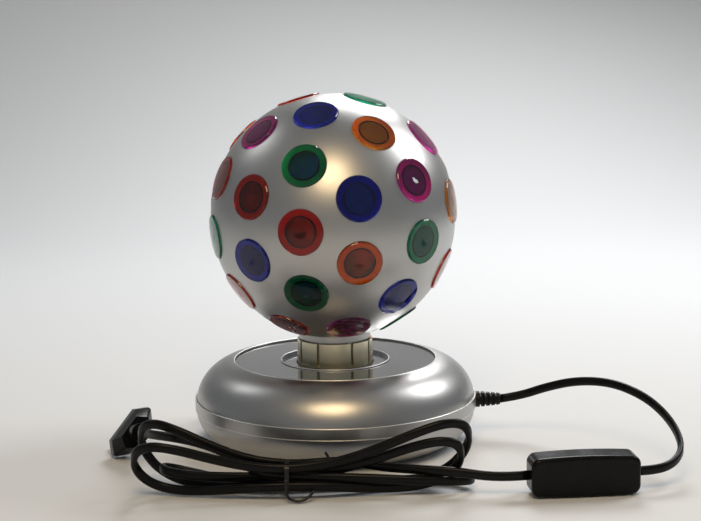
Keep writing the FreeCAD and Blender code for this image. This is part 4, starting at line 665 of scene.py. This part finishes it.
@dataclass
class FlatCord:
    """A flat twin cord swept along a smooth route, its broad side upright."""

    width: float = 5.4 * MM
    thick: float = 3.5 * MM
    sides: int = 14
    smoothness: int = 6
    order: int = 3
    groove: float = 0.16
    near_middle: float = 0.0001 * MM

    def spline_points(self, name: str, route: Sequence[Vector]) -> List[Vector]:
        """Reads the points of the route's smooth line.

        Args:
            name: a name for the line.
            route: its control points in millimetres.

        Returns:
            Points in metres.
        """
        curve = bpy.data.curves.new(name, "CURVE")
        curve.dimensions = "3D"
        curve.resolution_u = self.smoothness
        spline = curve.splines.new("NURBS")
        spline.points.add(len(route) - 1)
        for point, place in zip(spline.points, route):
            point.co = (*(place * MM), 1.0)
        spline.order_u = self.order
        spline.use_endpoint_u = True
        line = bpy.data.objects.new(name, curve)
        mesh = bpy.data.meshes.new_from_object(line)
        points = [vertex.co.copy() for vertex in mesh.vertices]
        bpy.data.meshes.remove(mesh)
        bpy.data.objects.remove(line)
        bpy.data.curves.remove(curve)
        return points

    @staticmethod
    def frames(points: Sequence[Vector]) -> List[Matrix]:
        """Section frames along the line, with the broad side kept upright.

        Args:
            points: the line's points.

        Returns:
            One matrix for each point: X across the thickness, Y along the width.
        """
        frames = []
        last = len(points) - 1
        up = Vector((0, 0, 1))
        for index, point in enumerate(points):
            way = (points[min(index + 1, last)] - points[max(index - 1, 0)]).normalized()
            tall = (up - way * up.dot(way)).normalized()
            frame = Matrix((tall.cross(way), tall, way)).transposed().to_4x4()
            frame.translation = point
            frames.append(frame)
        return frames

    def section(self, bm: bmesh.types.BMesh) -> List[bmesh.types.BMVert]:
        """The cord's outline round the origin: flat, with round edges and a middle groove.

        Args:
            bm: the mesh to make it in.

        Returns:
            Its vertices.
        """
        ring = bmesh.ops.create_circle(bm, cap_ends=False, segments=self.sides,
                                       radius=self.thick / 2)["verts"]
        stretch = (self.width - self.thick) / 2
        for vert in ring:
            if abs(vert.co.y) > self.near_middle:
                vert.co.y += math.copysign(stretch, vert.co.y)
            else:
                vert.co.x *= 1 - self.groove
        return ring

    def build(self, name: str, points: Sequence[Vector]) -> bpy.types.Object:
        """Sweeps the section along the line.

        Args:
            name: the piece's name.
            points: the line's points.

        Returns:
            The cord.
        """
        bm = bmesh.new()
        ring = self.section(bm)
        frames = self.frames(points)
        bmesh.ops.transform(bm, matrix=frames[0], verts=ring)
        edges = list(bm.edges)
        bmesh.ops.contextual_create(bm, geom=edges)
        for before, here in zip(frames, frames[1:]):
            made = bmesh.ops.extrude_edge_only(bm, edges=edges)["geom"]
            fresh = [item for item in made if isinstance(item, bmesh.types.BMVert)]
            edges = [item for item in made if isinstance(item, bmesh.types.BMEdge)]
            bmesh.ops.transform(bm, matrix=here @ before.inverted(), verts=fresh)
        bmesh.ops.contextual_create(bm, geom=edges)
        return add_piece(name, bm)


@dataclass
class CordSet:
    """Both stretches of cord and the twisted tails of the hank's tie."""

    wardrobe: Wardrobe
    nodes: Dict[str, bpy.types.Object]
    flat: FlatCord = field(default_factory=FlatCord)
    tail_thick: float = 1.6 * MM
    low_tail: Tuple[Place, ...] = (
        (-28.0, -130.6, 13.0), (-27.8, -131.0, 7.0), (-26.6, -131.4, 2.6), (-22.4, -131.8, 1.3),
        (-18.2, -131.6, 1.6), (-14.6, -130.6, 3.6), (-13.0, -129.0, 6.2))
    high_tail: Tuple[Place, ...] = (
        (-10.0, -113.0, 12.0), (-6.0, -112.0, 14.5), (-4.2, -110.6, 18.0), (-4.9, -110.2, 20.5),
        (-6.4, -110.0, 22.4))

    @staticmethod
    def length(points: Sequence[Vector]) -> float:
        """The length of a line of points."""
        return sum((after - before).length for before, after in zip(points, points[1:]))

    def stretch(self, name: str,
                route: Sequence[Vector]) -> Tuple[bpy.types.Object, List[Vector]]:
        """Builds and dresses one stretch of cord.

        Args:
            name: the piece's name.
            route: its control points in millimetres.

        Returns:
            The piece and the points of its middle line.
        """
        points = self.flat.spline_points(name, route)
        piece = self.flat.build(name, points)
        self.wardrobe.dress(piece, "cord")
        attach(piece, Body.BASE.value)
        LOG.info("%s: %.3f m", name, self.length(points))
        return piece, points

    def build(self) -> None:
        """Builds both stretches, hides the CAD cord nodes that they replace, and builds the
        tails.
        """
        piece, first = self.stretch("cord_to_switch", CordRoutes.to_switch())
        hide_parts("cord_base_to_switch")
        piece, second = self.stretch("cord_to_plug", CordRoutes.to_plug())
        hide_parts("cord_switch_to_hank", "cord_hank", "cord_hank_to_plug")
        self.tails()

    def tails(self) -> None:
        """Builds the two loose ends of the wire tie."""
        wire = FlatCord(width=self.tail_thick, thick=self.tail_thick, sides=10, groove=0.0)
        for name, route in (("tie_low_tail", self.low_tail), ("tie_high_tail", self.high_tail)):
            line = wire.spline_points(name, [Vector(point) for point in route])
            piece = wire.build(name, line)
            self.wardrobe.dress(piece, "wire_tie")
            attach(piece, Body.BASE.value)
            LOG.info("%s built", name)


@dataclass(frozen=True)
class Ring:
    """One rolled edge, painted bright as a highlight line: its radius, its height over the floor
    and its section's radius, in mm.
    """

    name: str
    radius: float
    height: float
    thick: float


@dataclass
class PaintedGlintRings:
    """The fine rolled edges round the base: thin rings on its mouldings, painted far brighter
    than the base as highlight lines.
    """

    wardrobe: Wardrobe
    steps: int = 160
    sides: int = 10
    rings: Tuple[Ring, ...] = (
        Ring("edge_disc", radius=62.75, height=51.35, thick=0.42),
        Ring("edge_well", radius=33.5, height=50.92, thick=0.42),
        Ring("edge_seam", radius=87.05, height=28.65, thick=0.45),
        Ring("edge_band", radius=87.25, height=22.1, thick=0.34))

    def spin(self, ring: Ring) -> bpy.types.Object:
        """Spins a small round section about the lamp's axis.

        Args:
            ring: the edge's sizes.

        Returns:
            The ring.
        """
        bm = bmesh.new()
        section = bmesh.ops.create_circle(bm, cap_ends=False, segments=self.sides,
                                          radius=ring.thick * MM)["verts"]
        stand = Matrix.Translation((ring.radius * MM, 0, ring.height * MM)) @ Matrix.Rotation(
            math.pi / 2, 4, "X")
        bmesh.ops.transform(bm, matrix=stand, verts=section)
        bmesh.ops.spin(bm, geom=list(bm.edges), cent=(0, 0, 0), axis=(0, 0, 1), dvec=(0, 0, 0),
                       angle=math.tau, steps=self.steps, use_duplicate=False, use_merge=True)
        return add_piece(ring.name, bm)

    def build(self) -> None:
        """Builds and dresses every ring."""
        for ring in self.rings:
            piece = self.spin(ring)
            self.wardrobe.dress(piece, "painted_glint")
            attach(piece, Body.BASE.value)
            LOG.info("%s built", ring.name)


@dataclass(frozen=True)
class SoftLamp:
    """A round soft lamp: where it stands, what it points at, its diameter and its watts."""

    name: str
    place: Place
    target: Place
    size: float
    power: float
    colour: Colour = (1.0, 1.0, 1.0)

    def build(self) -> None:
        """Adds the lamp to the scene."""
        data = bpy.data.lights.new(self.name, "AREA")
        data.shape = "DISK"
        data.size = self.size
        data.energy = self.power
        data.color = self.colour
        obj = bpy.data.objects.new(self.name, data)
        obj.location = self.place
        way = Vector(self.target) - Vector(self.place)
        obj.rotation_euler = way.to_track_quat("-Z", "Y").to_euler()
        bpy.context.scene.collection.objects.link(obj)


class Studio:
    """Floor, backdrop, lamps and the camera."""

    SWEEP_HALF = 3.0
    SWEEP_START = 0.8
    SWEEP_ROUND = 0.9
    SWEEP_STEPS = 24
    SWEEP_COLOUR = (0.76, 0.775, 0.79)
    SWEEP_ROUGHNESS = 0.8
    SWEEP_SPECULAR = 0.2
    WORLD_COLOUR = (0.86, 0.91, 0.95)
    WORLD_STRENGTH = 0.24
    PICTURE_WIDTH = 701
    FOCAL_PIXELS = 1497.0
    SENSOR = 36.0
    CLIP_START = 0.01
    CAMERA_PLACE = Vector((0.0, -0.9139, 0.2561))
    # Each row is one of the camera's own axes: right, up and back
    CAMERA_ROWS = ((0.99983, -0.01327, -0.01245), (0.01436, 0.15516, 0.98779),
                   (-0.01118, -0.9878, 0.15532))
    LAMPS = (
        SoftLamp("back_softbox", place=(0.22, 1.00, 0.95), target=(0.02, 0, 0.10), size=0.62,
                 power=9.0),
        SoftLamp("right_softbox", place=(0.90, 0.38, 0.90), target=(0.02, 0, 0.06), size=0.55,
                 power=6.0),
        SoftLamp("front_glow", place=(-0.04, -0.78, 0.92), target=(0, 0, 0.12), size=0.48,
                 power=4.2, colour=(1.0, 0.74, 0.42)),
        SoftLamp("left_kicker", place=(-0.72, 0.42, 0.86), target=(0, 0, 0.06), size=0.34,
                 power=0.8))

    def backdrop(self) -> None:
        """A plain pale floor that sweeps up into a backdrop behind the lamp."""
        bm = bmesh.new()
        edge = [bm.verts.new((-self.SWEEP_HALF, y, 0.0))
                for y in (-self.SWEEP_HALF, self.SWEEP_START)]
        bm.edges.new(edge)
        centre = (-self.SWEEP_HALF, self.SWEEP_START, self.SWEEP_ROUND)
        bmesh.ops.spin(bm, geom=[edge[1]], cent=centre, axis=(1, 0, 0), dvec=(0, 0, 0),
                       angle=math.pi / 2, steps=self.SWEEP_STEPS, use_duplicate=False)
        bm.verts.ensure_lookup_table()
        top = max(bm.verts, key=lambda vert: vert.co.z)
        bmesh.ops.extrude_vert_indiv(bm, verts=[top])
        highest = max(bm.verts, key=lambda vert: (vert.co.z, vert.index))
        highest.co.z += self.SWEEP_HALF
        made = bmesh.ops.extrude_edge_only(bm, edges=list(bm.edges))["geom"]
        fresh = [item for item in made if isinstance(item, bmesh.types.BMVert)]
        bmesh.ops.translate(bm, vec=(self.SWEEP_HALF * 2, 0, 0), verts=fresh)
        obj = add_piece("backdrop", bm)
        material, graph, shader = new_material("pale_backdrop")
        graph.feed(shader, {
            "Base Color": (*self.SWEEP_COLOUR, 1.0), "Roughness": self.SWEEP_ROUGHNESS,
            "Specular IOR Level": self.SWEEP_SPECULAR})
        obj.data.materials.append(material)

    def world(self) -> None:
        """A plain pale surrounding with a low even light."""
        world = bpy.data.worlds.new("studio")
        bpy.context.scene.world = world
        world.use_nodes = True
        Graph(world.node_tree).feed(world.node_tree.nodes["Background"], {
            "Color": (*self.WORLD_COLOUR, 1.0), "Strength": self.WORLD_STRENGTH})

    def camera(self) -> None:
        """The camera at the photograph's viewing angle."""
        data = bpy.data.cameras.new("camera")
        data.sensor_width = self.SENSOR
        data.lens = self.FOCAL_PIXELS / self.PICTURE_WIDTH * self.SENSOR
        data.clip_start = self.CLIP_START
        obj = bpy.data.objects.new("camera", data)
        turn = Matrix(self.CAMERA_ROWS).transposed().to_4x4()
        obj.matrix_world = Matrix.Translation(self.CAMERA_PLACE) @ turn
        bpy.context.scene.collection.objects.link(obj)
        bpy.context.scene.camera = obj

    def build(self) -> None:
        """Builds the whole studio."""
        bpy.context.scene.view_settings.view_transform = "Standard"
        self.backdrop()
        self.world()
        for lamp in self.LAMPS:
            lamp.build()
        self.camera()


def main() -> None:
    """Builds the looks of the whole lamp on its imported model."""
    logging.basicConfig(level=logging.INFO, format="%(name)s: %(message)s")
    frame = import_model()
    Studio().build()
    wardrobe = Wardrobe(Finishes())
    wardrobe.dress_cad(frame["nodes"])
    PaintedGlintRings(wardrobe).build()
    CordSet(wardrobe, frame["nodes"]).build()


if __name__ == "__main__":
    main()
